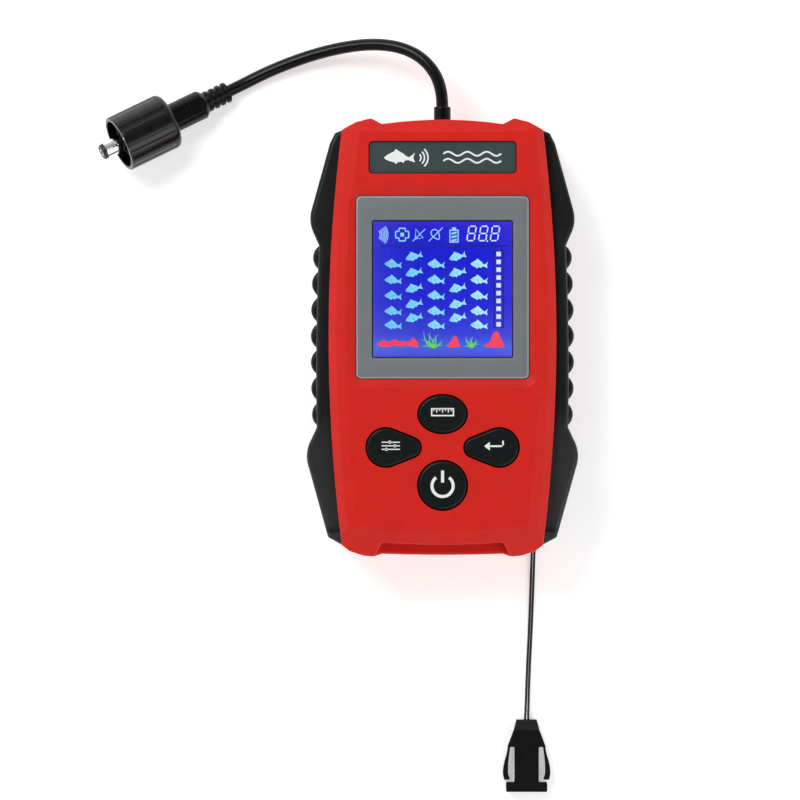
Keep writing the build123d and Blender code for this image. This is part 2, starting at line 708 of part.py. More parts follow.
def flat_contacts():
    """One plate at the button end of each cell."""
    plates = []
    for index, x in enumerate(CELL_XS):
        turn = 1 if index % 2 else -1
        wall_y = BAY_TOP_Y if turn == 1 else BAY_BOTTOM_Y
        cell_y = CELL_Y + turn * CELL_LENGTH / 2
        depth = abs(cell_y - wall_y)
        step = Box(4, depth, 4)
        plates.append((Pos(x, wall_y - turn * 0.2, CELL_Z) * Box(7, 0.4, 8)
                       + Pos(x, wall_y - turn * depth / 2, CELL_Z) * step).solid())
    return Compound(children=plates)


# --- cable and plug -------------------------------------------------------------------------------
def cable_gland():
    body = Pos(0, 54.4, PARTING_Z) * Rot(-90, 0, 0) * extrude(Circle(3.2), 1.6)
    tube = Pos(0, 54.4, PARTING_Z) * Rot(-90, 0, 0) * extrude(Circle(GLAND_RADIUS), GLAND_END_Y - 54.4)
    tube = fillet(tube.edges().sort_by(Axis.Y)[-1], 0.4)
    return body + tube


TILT = math.atan2(NUT_RADIUS - RELIEF_RADIUS, NUT_START)


def plug_plane():
    """Local Z runs along the plug from its tail; its nose is up, since the wide nut lifts it."""
    heading = Vector(*PLUG_DIRECTION, 0).normalized()
    axis = heading * math.cos(TILT) + Vector(0, 0, math.sin(TILT))
    across = Vector(0, 0, 1).cross(heading)
    origin = Vector(*PLUG_TAIL, RELIEF_RADIUS * math.cos(TILT))
    return Plane(origin, x_dir=across, z_dir=axis)


def rod(radius, start, end):
    return Pos(0, 0, start) * extrude(Circle(radius), end - start)


def plug_strain_relief():
    body = rod(RELIEF_CORE, 0, RELIEF_LENGTH)
    for index in range(RELIEF_RIBS):
        start = RELIEF_PITCH * index
        ring = rod(RELIEF_RADIUS, start, start + RELIEF_RIB)
        body += fillet(ring.edges(), 0.3)
    return body


def plug_body():
    cone = SHOULDER_START - RELIEF_LENGTH
    flange_start = NUT_START + NUT_REAR_WALL + 0.3
    body = Pos(0, 0, RELIEF_LENGTH + cone / 2) * Cone(RELIEF_RADIUS, PLUG_BODY_RADIUS, cone)
    body += rod(PLUG_BODY_RADIUS, SHOULDER_START, flange_start)
    body &= Box(20, 2 * PLUG_FLAT, 80)
    for side in (-1, 1):
        for row in range(PLUG_RIDGES):
            y = SHOULDER_START + 1.6 + PLUG_RIDGE_PITCH * row
            body += Pos(0, side * PLUG_FLAT, y) * Box(3.6, 0.5, 0.6)
    body += rod(PLUG_FLANGE_RADIUS, flange_start, flange_start + PLUG_FLANGE)
    body += rod(PLUG_NOSE_RADIUS, flange_start + PLUG_FLANGE, BARREL_START)
    groove = rod(PLUG_NOSE_RADIUS + 0.2, SEAL_PLACE - 0.5, SEAL_PLACE + 0.5)
    groove -= rod(PLUG_NOSE_RADIUS - 0.4, SEAL_PLACE - 0.5, SEAL_PLACE + 0.5)
    return body - groove - rod(SPIGOT_RADIUS, BARREL_START - SPIGOT, BARREL_START)


def plug_seal():
    return Pos(0, 0, SEAL_PLACE) * Torus(PLUG_NOSE_RADIUS + 0.05, 0.45)


def plug_nut():
    body = rod(NUT_RADIUS, NUT_START, NUT_START + NUT_LENGTH)
    body = fillet(body.edges().sort_by(Axis.Z)[0], 1.4)
    end = body.edges().sort_by(Axis.Z)[-1]
    body = fillet(end, 0.4)
    body -= rod(NUT_BORE_RADIUS, NUT_START + NUT_REAR_WALL, NUT_START + NUT_LENGTH)
    body -= rod(NUT_REAR_HOLE, NUT_START, NUT_START + NUT_LENGTH)
    flute = Pos(NUT_RADIUS + 2.75, 0, NUT_START + 1.6) * extrude(Circle(3.0), NUT_LENGTH)
    for index in range(NUT_FLUTES):
        body -= Rot(0, 0, 360 / NUT_FLUTES * (index + 0.5)) * flute
    return body


def plug_barrel():
    body = rod(BARREL_RADIUS, BARREL_START, BARREL_END)
    body += rod(SPIGOT_RADIUS, BARREL_START - SPIGOT, BARREL_START)
    body -= rod(BARREL_BORE, BARREL_START - SPIGOT, BARREL_END)
    for angle in (0, 90):
        body -= Rot(0, 0, angle) * Pos(0, 0, BARREL_END - 1.8) * Box(6, 0.35, 3.6)
    return body


def plug_insulator():
    body = rod(BARREL_BORE, BARREL_START - SPIGOT, PLUG_END)
    body += rod(INSULATOR_TIP_RADIUS, BARREL_END, PLUG_END)
    body = fillet(body.edges().sort_by(Axis.Z)[-1], 0.3)
    return body - rod(0.55, PLUG_END - 6.0, PLUG_END)


def corner_radii(points):
    """Each arc as large as its two runs allow, and never larger."""
    radii = []
    for before, corner, after in zip(points, points[1:], points[2:]):
        first = Vector(*corner) - Vector(*before)
        second = Vector(*after) - Vector(*corner)
        half_turn = math.radians(first.get_angle(second)) / 2
        radii.append(0.45 * min(first.length, second.length) / math.tan(half_turn))
    return radii


def cord_tube(name, points, radius, radii):
    path = FilletPolyline(*points, radius=radii)
    tube = sweep(Plane(points[0], z_dir=path % 0) * Circle(radius), path)
    expected = math.pi * radius**2 * path.length
    print(name, "radii", [round(r, 1) for r in radii], "length", round(path.length, 1),
          "volume over section times length", round(tube.volume / expected, 4))
    return tube


def signal_cable():
    tail = plug_plane().origin
    before_tail = tail - plug_plane().z_dir * CABLE_STRAIGHT
    points = [*CABLE_ROUTE, tuple(before_tail), tuple(tail)]
    return cord_tube("signal_cable", points, CABLE_RADIUS, corner_radii(points))


# --- lanyard --------------------------------------------------------------------------------------
def lanyard_knot():
    body = Pos(EYE_X - 0.95, EYE_Y, EYE_Z) * Rot(0, 90, 0) * extrude(Circle(1.35), 1.9)
    body = fillet(body.edges(), 0.4)
    return body - eye_bar()


def lanyard_route():
    """Down one strand, round the post in the buckle's head, and back up the other."""
    down = [(middle - gap, y, z) for middle, gap, y, z in STRAND_STATIONS]
    back = [(middle + gap, y, z) for middle, gap, y, z in reversed(STRAND_STATIONS)]
    end_y = BUCKLE_Y - LOOP_DEPTH - LOOP_RADIUS
    turn = [(BUCKLE_X + side * LOOP_RADIUS, end_y, BUCKLE_THICK / 2) for side in (-1, 1)]
    return [*down, *turn, *back]


def lanyard_cord():
    points = lanyard_route()
    radii = corner_radii(points)
    first_turn = len(STRAND_STATIONS) - 1
    for index in (first_turn, first_turn + 1):
        radii[index] = LOOP_RADIUS * 0.98
    return cord_tube("lanyard_cord", points, STRAND_RADIUS, radii)


def buckle_at(shape, low=0.0):
    return Pos(BUCKLE_X, BUCKLE_Y, low) * shape


def buckle_body():
    slot_y = SHOULDER[1] - 0.2
    half = [(HEAD_HALF, 0), HEAD_FACET, SHOULDER, (SHOULDER[0], slot_y), (BLADE_HALF, slot_y),
            (BLADE_HALF, FOOT_Y), (FOOT_HALF, FOOT_Y), (FOOT_HALF, -BUCKLE_LENGTH)]
    outline = [*half, *[(-x, y) for x, y in reversed(half)]]
    body = extrude(make_face(Polyline(*outline, close=True)), BUCKLE_THICK)
    upright = body.edges().filter_by(Axis.Z)
    blade_corners = upright.filter_by(lambda edge: abs(abs(edge.center().X) - BLADE_HALF) < 0.01)
    foot_corners = upright.filter_by(lambda edge: abs(edge.center().X) > FOOT_HALF - 0.01)
    body = fillet(blade_corners + foot_corners, 0.35)
    thinned = FOOT_Y - slot_y
    body -= Pos(0, slot_y + thinned / 2, 0) * Box(2 * FOOT_HALF + 1, -thinned - 1.4, 1.0)
    slope = Plane.YZ * make_face(Polyline((0.1, 3.3), (0.1, 5), (HEAD_FACET[1], 5),
                                          (HEAD_FACET[1], BUCKLE_THICK), close=True))
    body -= extrude(slope, FOOT_HALF, both=True)
    pocket_length = LOOP_DEPTH + 3.0
    body -= Pos(0, 1.0 - pocket_length / 2, BUCKLE_THICK / 2) * Box(2.8, pocket_length, 1.5)
    body += Pos(0, -LOOP_DEPTH, BUCKLE_THICK / 2 - 0.8) * extrude(Circle(LOOP_POST_RADIUS), 1.6)
    return buckle_at(body)


def buckle_prong():
    """Right prong at the buckle's own origin: a springy arm that bows out and hooks in at its tip."""
    x, y = HINGE
    outer_root = (x + HINGE_RADIUS, y)
    inner_root = (x - HINGE_RADIUS, y)
    lines = [
        ThreePointArc(outer_root, (x, y + HINGE_RADIUS), inner_root),
        ThreePointArc(inner_root, (4.95, -11.0), (5.05, -14.6)),
        Polyline((5.05, -14.6), (4.65, PRONG_END_Y + 0.5), (4.65, PRONG_END_Y), (6.2, PRONG_END_Y),
                 (6.47, -14.2)),
        ThreePointArc((6.47, -14.2), (6.1, -11.2), outer_root),
    ]
    return extrude(Pos(0, 0, PRONG_INSET) * make_face(lines), BUCKLE_THICK - 2 * PRONG_INSET)


# --- write every node ---------------------------------------------------------------------------
os.makedirs("parts", exist_ok=True)
save("front_cover", front_cover())
save("back_cover", back_cover())
save("battery_door", battery_door())
save("case_seal", case_seal())
save("right_grip", right_grip())
save("left_grip", mirrored(right_grip()))
save("display_bezel", display_bezel())
save("display_window", display_window())
save("lcd_panel", lcd_panel())
save("backlight", backlight())
save("lcd_holder", lcd_holder())
save("name_plate", name_plate())
save("main_board", main_board())
save("tact_switches", tact_switches())
save("buzzer", buzzer())
save("sonar_chip", sonar_chip())
save("pulse_transformer", pulse_transformer())
save("capacitors", capacitors())
save("lead_connector", lead_connector())
save("lead_wires", lead_wires())
save("case_screws", case_screws())
save("board_screws", board_screws())
for key_name in KEY_NAMES:
    save(f"key_{key_name}", key(key_name))
save("keypad_mat", keypad_mat())
save("battery_cells", battery_cells())
save("spring_contacts", spring_contacts())
save("flat_contacts", flat_contacts())
save("cable_gland", cable_gland())
save("signal_cable", signal_cable())
plug = plug_plane()
save("plug_strain_relief", plug * plug_strain_relief())
save("plug_body", plug * plug_body())
save("plug_seal", plug * plug_seal())
save("plug_nut", plug * plug_nut())
save("plug_barrel", plug * plug_barrel())
save("plug_insulator", plug * plug_insulator())
save("lanyard_bar", eye_bar())
save("lanyard_knot", lanyard_knot())
save("lanyard_cord", lanyard_cord())
save("buckle_body", buckle_body())
save("buckle_prong_right", buckle_at(buckle_prong()))
save("buckle_prong_left", buckle_at(mirrored(buckle_prong())))
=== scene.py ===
import json
import math

import bmesh
import bpy
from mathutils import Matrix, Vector


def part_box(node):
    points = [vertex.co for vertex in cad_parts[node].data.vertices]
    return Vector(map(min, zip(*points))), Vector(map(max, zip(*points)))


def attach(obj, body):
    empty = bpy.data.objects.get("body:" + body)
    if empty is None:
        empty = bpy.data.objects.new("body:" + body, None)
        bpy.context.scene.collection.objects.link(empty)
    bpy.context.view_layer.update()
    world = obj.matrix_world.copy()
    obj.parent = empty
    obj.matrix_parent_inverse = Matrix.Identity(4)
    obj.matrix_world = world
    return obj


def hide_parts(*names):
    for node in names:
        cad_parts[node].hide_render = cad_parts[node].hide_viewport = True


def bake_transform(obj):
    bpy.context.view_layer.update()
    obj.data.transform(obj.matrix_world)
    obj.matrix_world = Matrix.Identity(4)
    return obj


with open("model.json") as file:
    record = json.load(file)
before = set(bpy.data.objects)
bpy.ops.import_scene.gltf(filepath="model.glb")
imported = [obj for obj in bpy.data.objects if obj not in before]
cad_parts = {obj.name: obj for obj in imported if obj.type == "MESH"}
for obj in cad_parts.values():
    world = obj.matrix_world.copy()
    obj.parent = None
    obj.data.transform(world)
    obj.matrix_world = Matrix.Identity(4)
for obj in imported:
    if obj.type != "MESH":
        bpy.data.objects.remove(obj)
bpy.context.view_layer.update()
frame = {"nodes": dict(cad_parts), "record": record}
nodes = frame["nodes"]
scene = bpy.context.scene
scene.view_settings.view_transform = "Standard"
MM = 0.001


# --- camera: straight down on the face, through a long lens ---------------------------------------
VIEW_CENTRE = Vector((-11.45, -16.83, 27.0)) * MM
VIEW_WIDTH = 215.5 * MM
LENS_MM = 400.0
SENSOR_MM = 36.0

camera_data = bpy.data.cameras.new("camera")
camera_data.lens = LENS_MM
camera_data.sensor_width = SENSOR_MM
camera_data.clip_end = 20.0
camera = bpy.data.objects.new("camera", camera_data)
camera.location = VIEW_CENTRE + Vector((0, 0, VIEW_WIDTH * LENS_MM / SENSOR_MM))
scene.collection.objects.link(camera)
scene.camera = camera


# --- small helpers --------------------------------------------------------------------------------
def linear(red, green, blue):
    """A screen colour, 0 to 255, as the linear colour that shaders take."""
    def one(value):
        value /= 255
        return value / 12.92 if value <= 0.04045 else ((value + 0.055) / 1.055) ** 2.4
    return (one(red), one(green), one(blue), 1.0)


def add_object(name, data):
    """A new object in the scene."""
    piece = bpy.data.objects.new(name, data)
    scene.collection.objects.link(piece)
    return piece


def mesh_piece(name, points, faces, sharp_from=None):
    """A mesh from points in millimetres, flat-sided, or smooth with edges sharp from this angle."""
    mesh = bpy.data.meshes.new(name)
    mesh.from_pydata([Vector(point) * MM for point in points], [], faces)
    body = bmesh.new()
    body.from_mesh(mesh)
    bmesh.ops.recalc_face_normals(body, faces=body.faces)
    body.to_mesh(mesh)
    body.free()
    if sharp_from is not None:
        mesh.shade_smooth()
        mesh.set_sharp_from_angle(angle=math.radians(sharp_from))
    return add_object(name, mesh)


def box_mm(node):
    """A node's lowest and highest corners, in millimetres."""
    low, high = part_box(node)
    return Vector(low) / MM, Vector(high) / MM


def place(piece, body, material):
    """Fix a piece to a body and give it its slot and material."""
    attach(piece, body)
    piece.data.materials.append(material)


# --- cords ----------------------------------------------------------------------------------------
CABLE_ROUTE = (
    (0.0, 62.6, 14.0),
    (0.0, 66.3, 14.0),
    (-1.9, 71.9, 13.7),
    (-6.0, 76.4, 12.5),
    (-11.9, 79.1, 10.4),
    (-19.6, 79.9, 7.7),
    (-28.4, 78.8, 4.9),
    (-37.5, 76.4, 2.9),
    (-47.3, 72.6, 1.75),
    (-54.94, 68.71, 1.76),
    (-58.4, 67.0, 2.8),
)
CABLE_DIAMETER = 3.3
STRAND_DIAMETER = 0.64
BUCKLE_X = 23.0
BUCKLE_Y = -103.8
BUCKLE_THICK = 4.4
STRAND_STATIONS = (  # middle of the pair, half the space between the strands, and place
    (24.80, 0.36, -57.6, 2.0),
    (24.68, 0.36, -61.6, 1.1),
    (24.47, 0.36, -68.5, 0.5),
    (24.04, 0.36, -79.5, 0.36),
    (23.45, 0.36, -91.0, 0.5),
    (23.18, 0.36, -99.5, 1.2),
    (23.00, 0.41, -103.8, 1.95),
    (23.00, 0.75, -106.0, 2.2),
)
LOOP_RADIUS = 0.75
LOOP_END_Y = -107.55


def lanyard_route():
    """Down one strand, round the post in the buckle's head, and back up the other."""
    down = [(middle - gap, y, z) for middle, gap, y, z in STRAND_STATIONS]
    back = [(middle + gap, y, z) for middle, gap, y, z in reversed(STRAND_STATIONS)]
    turn = [(BUCKLE_X + side * LOOP_RADIUS, LOOP_END_Y, BUCKLE_THICK / 2) for side in (-1, 1)]
    return [*down, *turn, *back]


def cord_curve(name, points, diameter, around=6):
    """A cord as one smooth spline with these control points."""
    curve = bpy.data.curves.new(name, "CURVE")
    curve.dimensions = "3D"
    curve.bevel_depth = 1.0     # times each point's radius
    curve.bevel_resolution = around
    curve.resolution_u = 16
    spline = curve.splines.new("NURBS")
    spline.points.add(len(points) - 1)
    for target, point in zip(spline.points, points):
        target.co = (*(Vector(point) * MM), 1.0)
        target.radius = diameter / 2 * MM
    spline.order_u = 3
    spline.use_endpoint_u = True
    spline.use_smooth = True
    return add_object(name, curve)


def curve_length(piece):
    """Length of a curve's own line, in metres."""
    bare = piece.data.copy()
    bare.bevel_depth = 0
    holder = add_object("measure", bare)
    mesh = bpy.data.meshes.new_from_object(
        holder.evaluated_get(bpy.context.evaluated_depsgraph_get()))
    length = sum((mesh.vertices[edge.vertices[0]].co - mesh.vertices[edge.vertices[1]].co).length
                 for edge in mesh.edges)
    bpy.data.objects.remove(holder)
    return round(length, 4)


cable = cord_curve("cable", CABLE_ROUTE, CABLE_DIAMETER)
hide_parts("signal_cable")
lanyard = cord_curve("lanyard", lanyard_route(), STRAND_DIAMETER, 4)
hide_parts("lanyard_cord")


# --- materials ------------------------------------------------------------------------------------
class Look:
    """One material and its node tree, in the object's own coordinates."""

    def __init__(self, name, colour, roughness, metallic=0.0):
        self.material = bpy.data.materials.new(name)
        self.material.use_nodes = True
        self.tree = self.material.node_tree
        self.shader = self.tree.nodes["Principled BSDF"]
        self.set(Base_Color=colour, Roughness=roughness, Metallic=metallic)
        self.colour = colour
        self.place = self.tree.nodes.new("ShaderNodeTexCoord").outputs["Object"]

    def set(self, **values):
        """Set the shader's inputs, named with _ for each space."""
        for name, value in values.items():
            self.shader.inputs[name.replace("_", " ")].default_value = value

    def node(self, kind, **inputs):
        """A new node with these input values."""
        made = self.tree.nodes.new(kind)
        for name, value in inputs.items():
            made.inputs[name].default_value = value
        return made

    def link(self, source, target):
        """Join a node's output to a node's input."""
        self.tree.links.new(source, target)

    def noise(self, size_mm, detail=4.0, roughness=0.5):
        """Noise with features of about this size."""
        made = self.node("ShaderNodeTexNoise", Scale=1 / (size_mm * MM), Detail=detail,
                         Roughness=roughness)
        self.link(self.place, made.inputs["Vector"])
        return made.outputs["Fac"]

    def ramp(self, value, stops):
        """Colours by a value, through (value, colour) stops."""
        made = self.tree.nodes.new("ShaderNodeValToRGB")
        elements = made.color_ramp.elements
        while len(elements) < len(stops):
            elements.new(0.5)
        for element, (position, colour) in zip(elements, stops):
            element.position = position
            element.color = colour
        self.link(value, made.inputs["Fac"])
        return made.outputs["Color"]

    def grey_range(self, value, low, high, start=0.3, stop=0.7):
        """A value from start to stop, spread from low to high."""
        made = self.node("ShaderNodeMapRange", **{"From Min": start, "From Max": stop,
                                                  "To Min": low, "To Max": high})
        self.link(value, made.inputs["Value"])
        return made.outputs["Result"]

    def along(self, axis, low_mm, high_mm):
        """Share of the way between two places on an axis."""
        split = self.node("ShaderNodeSeparateXYZ")
        self.link(self.place, split.inputs["Vector"])
        return self.grey_range(split.outputs[axis], 0, 1, low_mm * MM, high_mm * MM)

    def mixed(self, first, second, share, how="MIX"):
        """Two colours mixed or multiplied, with this share of the second."""
        made = self.tree.nodes.new("ShaderNodeMix")
        made.data_type = "RGBA"
        made.blend_type = how
        made.inputs["Factor"].default_value = share
        self.link(first, made.inputs["A"])
        self.link(second, made.inputs["B"])
        return made.outputs["Result"]

    def mottle(self, size_mm, spread):
        """Slow variation of the colour, by this share of it either way."""
        stops = []
        for position, share in ((0.3, 1 - spread), (0.7, 1 + spread)):
            stops.append((position, tuple(min(1.0, part * share) for part in self.colour[:3]) + (1.0,)))
        self.link(self.ramp(self.noise(size_mm, 9.0, 0.72), stops), self.shader.inputs["Base Color"])

    def uneven_gloss(self, size_mm, low, high):
        """Roughness that varies slowly between two values."""
        self.link(self.grey_range(self.noise(size_mm, 3.0), low, high), self.shader.inputs["Roughness"])

    def bump(self, heights, depth_mm):
        """Surface relief of this depth."""
        made = self.node("ShaderNodeBump", Distance=depth_mm * MM, Strength=1.0)
        self.link(heights, made.inputs["Height"])
        self.link(made.outputs["Normal"], self.shader.inputs["Normal"])


def moulded(name, colour, gloss, grain_mm=0.3, depth_mm=0.01, spread=0.05, mottle_mm=7.0):
    """Moulded plastic or rubber: a fine grain, slow colour variation and uneven gloss."""
    look = Look(name, colour, gloss)
    look.mottle(mottle_mm, spread)
    look.uneven_gloss(1.5, gloss * 0.88, gloss * 1.15)
    look.bump(look.noise(grain_mm, 3.0, 0.6), depth_mm)
    return look


def metal(name, colour, gloss, scratch_mm=0.25, depth_mm=0.002):
    """Plated metal with fine wear."""
    look = Look(name, colour, gloss, 1.0)
    look.mottle(2.0, 0.04)
    look.uneven_gloss(0.8, gloss * 0.7, gloss * 1.4)
    look.bump(look.noise(scratch_mm, 6.0, 0.7), depth_mm)
    return look


def lit(name, colour, strength=1.0):
    """A lit segment of the display."""
    look = Look(name, (0.02, 0.02, 0.02, 1.0), 0.5)
    look.set(Emission_Color=colour, Emission_Strength=strength)
    return look


def braided(name, colour):
    """A thin braided cord: fine diagonal ridges."""
    look = Look(name, colour, 0.6)
    wave = look.node("ShaderNodeTexWave", Scale=2.2 / MM, Distortion=0.6)
    wave.bands_direction = "DIAGONAL"
    look.link(look.place, wave.inputs["Vector"])
    dark = tuple(part * 0.5 for part in colour[:3]) + (1.0,)
    light = tuple(part * 2.2 for part in colour[:3]) + (1.0,)
    look.link(look.ramp(wave.outputs["Fac"], ((0.1, dark), (0.9, light))), look.shader.inputs["Base Color"])
    look.bump(wave.outputs["Fac"], 0.06)
    return look


def lcd_background():
    """The lit display: deep blue, purple at its edges and paler at its lower end."""
    look = Look("lcd_glass", linear(20, 22, 60), 0.3)
    low, high = box_mm("display_window")
    upright = look.ramp(look.along("Y", low.y, high.y), (
        (0.03, linear(104, 92, 226)), (0.10, linear(90, 132, 230)), (0.19, linear(72, 82, 216)),
        (0.40, linear(36, 38, 210)), (0.75, linear(16, 20, 204)), (0.92, linear(34, 30, 206)),
        (1.00, linear(92, 62, 216))))
    sideways = look.ramp(look.along("X", low.x, high.x), (
        (0.00, linear(104, 80, 205)), (0.08, linear(56, 62, 214)), (0.30, linear(18, 24, 206)),
        (0.80, linear(18, 16, 222)), (0.95, linear(62, 48, 226)), (1.00, linear(122, 88, 220))))
    look.link(look.mixed(upright, sideways, 0.42), look.shader.inputs["Emission Color"])
    look.set(Emission_Strength=1.0)
    look.bump(look.noise(0.5), 0.001)
    return look


def clear_window():
    """Clear polished acrylic, very slightly uneven."""
    look = Look("clear_window", (0.96, 0.97, 1.0, 1.0), 0.03)
    look.set(Transmission_Weight=1.0, IOR=1.46)
    look.bump(look.noise(9.0, 2.0), 0.002)
    return look


def sleeve():
    """Printed cell sleeve: two plain bands round each cell."""
    look = Look("cell_sleeve", linear(40, 62, 74), 0.28)
    low, high = box_mm("battery_cells")
    bands = look.ramp(look.along("Y", low.y, high.y), (
        (0.16, linear(190, 152, 66)), (0.20, linear(36, 44, 52)),
        (0.80, linear(38, 46, 54)), (0.84, linear(190, 152, 66))))
    look.link(bands, look.shader.inputs["Base Color"])
    look.bump(look.noise(1.2), 0.004)
    return look


# Where the painted sheen on the grips starts and ends, in Y.
SHEEN_LOW_Y = -52.5
SHEEN_HIGH_Y = -19.0


def grip_look():
    """Black rubber with a painted sheen: greyer where it slopes to the lower end, in place of the light it
    reflects.
    """
    look = Look("grip_rubber", linear(14, 18, 17), 0.42)
    # Painted sheen: the lower shoulders lighter in colour, standing in for reflected light.
    painted_sheen = look.ramp(look.along("Y", SHEEN_LOW_Y, SHEEN_HIGH_Y), (
        (0.00, linear(18, 22, 22)), (0.06, linear(48, 52, 51)),
        (0.75, linear(38, 42, 41)), (1.00, linear(14, 18, 17))))
    shades = look.ramp(look.noise(5.0, 9.0, 0.72), (
        (0.3, (0.82, 0.82, 0.82, 1.0)), (0.7, (1.0, 1.0, 1.0, 1.0))))
    look.link(look.mixed(painted_sheen, shades, 1.0, "MULTIPLY"), look.shader.inputs["Base Color"])
    look.uneven_gloss(1.5, 0.36, 0.48)
    look.bump(look.noise(0.28, 3.0, 0.6), 0.01)
    return look


def make_looks():
    """A look for each slot: colour, roughness, grain, its depth, colour spread and its size."""
    looks = {
        "red_shell": moulded("red_shell", linear(205, 36, 29), 0.4, 0.3, 0.018, 0.07),
        "grip_rubber": grip_look(),
        "seal_rubber": moulded("seal_rubber", linear(14, 14, 14), 0.6),
        "bezel_grey": moulded("bezel_grey", linear(113, 118, 121), 0.36, 0.18, 0.004, 0.04, 12.0),
        "lcd_glass": lcd_background(),
        "clear_window": clear_window(),
        "white_plastic": moulded("white_plastic", linear(225, 224, 218), 0.5),
        "plate_grey": moulded("plate_grey", linear(56, 68, 70), 0.4, 0.18, 0.005, 0.05),
        "circuit_board": moulded("circuit_board", linear(22, 92, 52), 0.3, 0.6, 0.01, 0.12, 3.0),
        "black_plastic": moulded("black_plastic", linear(18, 18, 19), 0.36),
        "bare_metal": metal("bare_metal", linear(190, 190, 188), 0.28),
        "key_rubber": moulded("key_rubber", linear(10, 15, 16), 0.38, 0.25, 0.006, 0.12),
        "cell_sleeve": sleeve(),
        "cable_jacket": moulded("cable_jacket", linear(10, 10, 10), 0.26, 0.4, 0.004, 0.12),
        "nut_plastic": moulded("nut_plastic", linear(7, 7, 7), 0.22, 0.5, 0.003, 0.12),
        "plug_chrome": metal("plug_chrome", linear(228, 228, 230), 0.1),
        "lanyard_cord": braided("lanyard_cord", linear(22, 22, 22)),
        "buckle_plastic": moulded("buckle_plastic", linear(9, 9, 9), 0.38, 0.25, 0.008, 0.12),
    }
    shine = {"red_shell": 0.14, "grip_rubber": 0.25, "key_rubber": 0.25, "buckle_plastic": 0.22,
             "nut_plastic": 0.45, "cable_jacket": 0.2, "plate_grey": 0.3, "bezel_grey": 0.4}
    for slot, level in shine.items():
        looks[slot].set(Specular_IOR_Level=level)
    return looks


LOOKS = make_looks()
for part in frame["record"]["subparts"]:
    node_object = nodes[part["node"]]
    node_object.data.materials.clear()
    node_object.data.materials.append(LOOKS[part["material_slot"]].material)
place(cable, "case", LOOKS["cable_jacket"].material)
place(lanyard, "case", LOOKS["lanyard_cord"].material)


# --- flat outlines, and thin plates made from them -------------------------------------------------
def turned(points, centre, degrees=0.0, size=1.0):
    """An outline scaled, turned and moved."""
    angle = math.radians(degrees)
    cosine = math.cos(angle) * size
    sine = math.sin(angle) * size
    return [(centre[0] + x * cosine - y * sine, centre[1] + x * sine + y * cosine) for x, y in points]


def arc_points(centre, radius, start, end, count=24):
    """Points along an arc, from one angle in degrees to another."""
    points = []
    for step in range(count + 1):
        angle = math.radians(start + (end - start) * step / count)
        points.append((centre[0] + radius * math.cos(angle), centre[1] + radius * math.sin(angle)))
    return points


def stroke(points, width, end_width=None):
    """The outline of a pen line through the points, with square ends; it may taper."""
    last = width if end_width is None else end_width
    left = []
    right = []
    for index, (x, y) in enumerate(points):
        before = points[max(index - 1, 0)]
        after = points[min(index + 1, len(points) - 1)]
        along = Vector((after[0] - before[0], after[1] - before[1])).normalized()
        share = index / (len(points) - 1)
        half = (width + (last - width) * share) / 2
        left.append((x - along.y * half, y + along.x * half))
        right.append((x + along.y * half, y - along.x * half))
    return left + right[::-1]


def rectangle(centre, width, length):
    """The outline of an upright rectangle."""
    x, y = centre
    return [(x - width / 2, y - length / 2), (x + width / 2, y - length / 2),
            (x + width / 2, y + length / 2), (x - width / 2, y + length / 2)]


def frame_strokes(centre, width, length, line):
    """Four strips round a rectangle."""
    x, y = centre
    across = [rectangle((x, y + side * (length - line) / 2), width, line) for side in (-1, 1)]
    upright = [rectangle((x + side * (width - line) / 2, y), line, length - 2 * line)
               for side in (-1, 1)]
    return across + upright


def raised(name, outlines, low_z, high_z, body, material):
    """Every outline as a thin plate with upright sides."""
    points = []
    faces = []
    for outline in outlines:
        start = len(points)
        count = len(outline)
        points += [(x, y, low_z) for x, y in outline]
        points += [(x, y, high_z) for x, y in outline]
        faces.append([start + index for index in reversed(range(count))])
        faces.append([start + count + index for index in range(count)])
        for index in range(count):
            after = (index + 1) % count
            faces.append([start + index, start + after, start + count + after, start + count + index])
    place(mesh_piece(name, points, faces), body, material)


# --- display frame with its painted highlight edge, and dark rings of painted shade in the gaps round it and round the name plate ---
BEZEL = (23.2, 24.5, 13.5)         # half width, half length and middle's Y, outside
OPENING = (19.0, 18.55, 13.05)     # the same of the opening for the window
BEZEL_TOP = 28.5
BEZEL_FOOT = 27.4
# Foot of the painted-shade ring round the frame, and the depth and rise of the one round the plate.
GAP_SHADE_FOOT = 27.9
PLATE_SHADE_DEPTH = 0.3
PLATE_SHADE_PROUD = 0.05


def inset(outline, amount, corner, z):
    """A ring this much inside an outline, with this corner radius and height."""
    half_x, half_y, middle_y = outline
    return half_x - amount, half_y - amount, corner, middle_y, z


def rounded_outline(half_x, half_y, corner, middle_y, steps=7):
    """A rounded rectangle, the same number of points whatever its size."""
    points = []
    for turn, (side_x, side_y) in enumerate(((1, 1), (-1, 1), (-1, -1), (1, -1))):
        centre = (side_x * (half_x - corner), middle_y + side_y * (half_y - corner))
        points += arc_points(centre, corner, 90 * turn, 90 * turn + 90, steps)
    return points


def ring_piece(name, rings, material):
    """A closed frame through rings of half width, half length, corner, middle's Y and height."""
    points = []
    faces = []
    for half_x, half_y, corner, middle_y, z in rings:
        points += [(x, y, z) for x, y in rounded_outline(half_x, half_y, corner, middle_y)]
    count = len(points) // len(rings)
    for ring in range(len(rings)):
        start = ring * count
        after = (ring + 1) % len(rings) * count
        for index in range(count):
            following = (index + 1) % count
            faces.append([start + index, start + following, after + following, after + index])
    piece = mesh_piece(name, points, faces, sharp_from=25)
    place(piece, "case", material)
    return piece


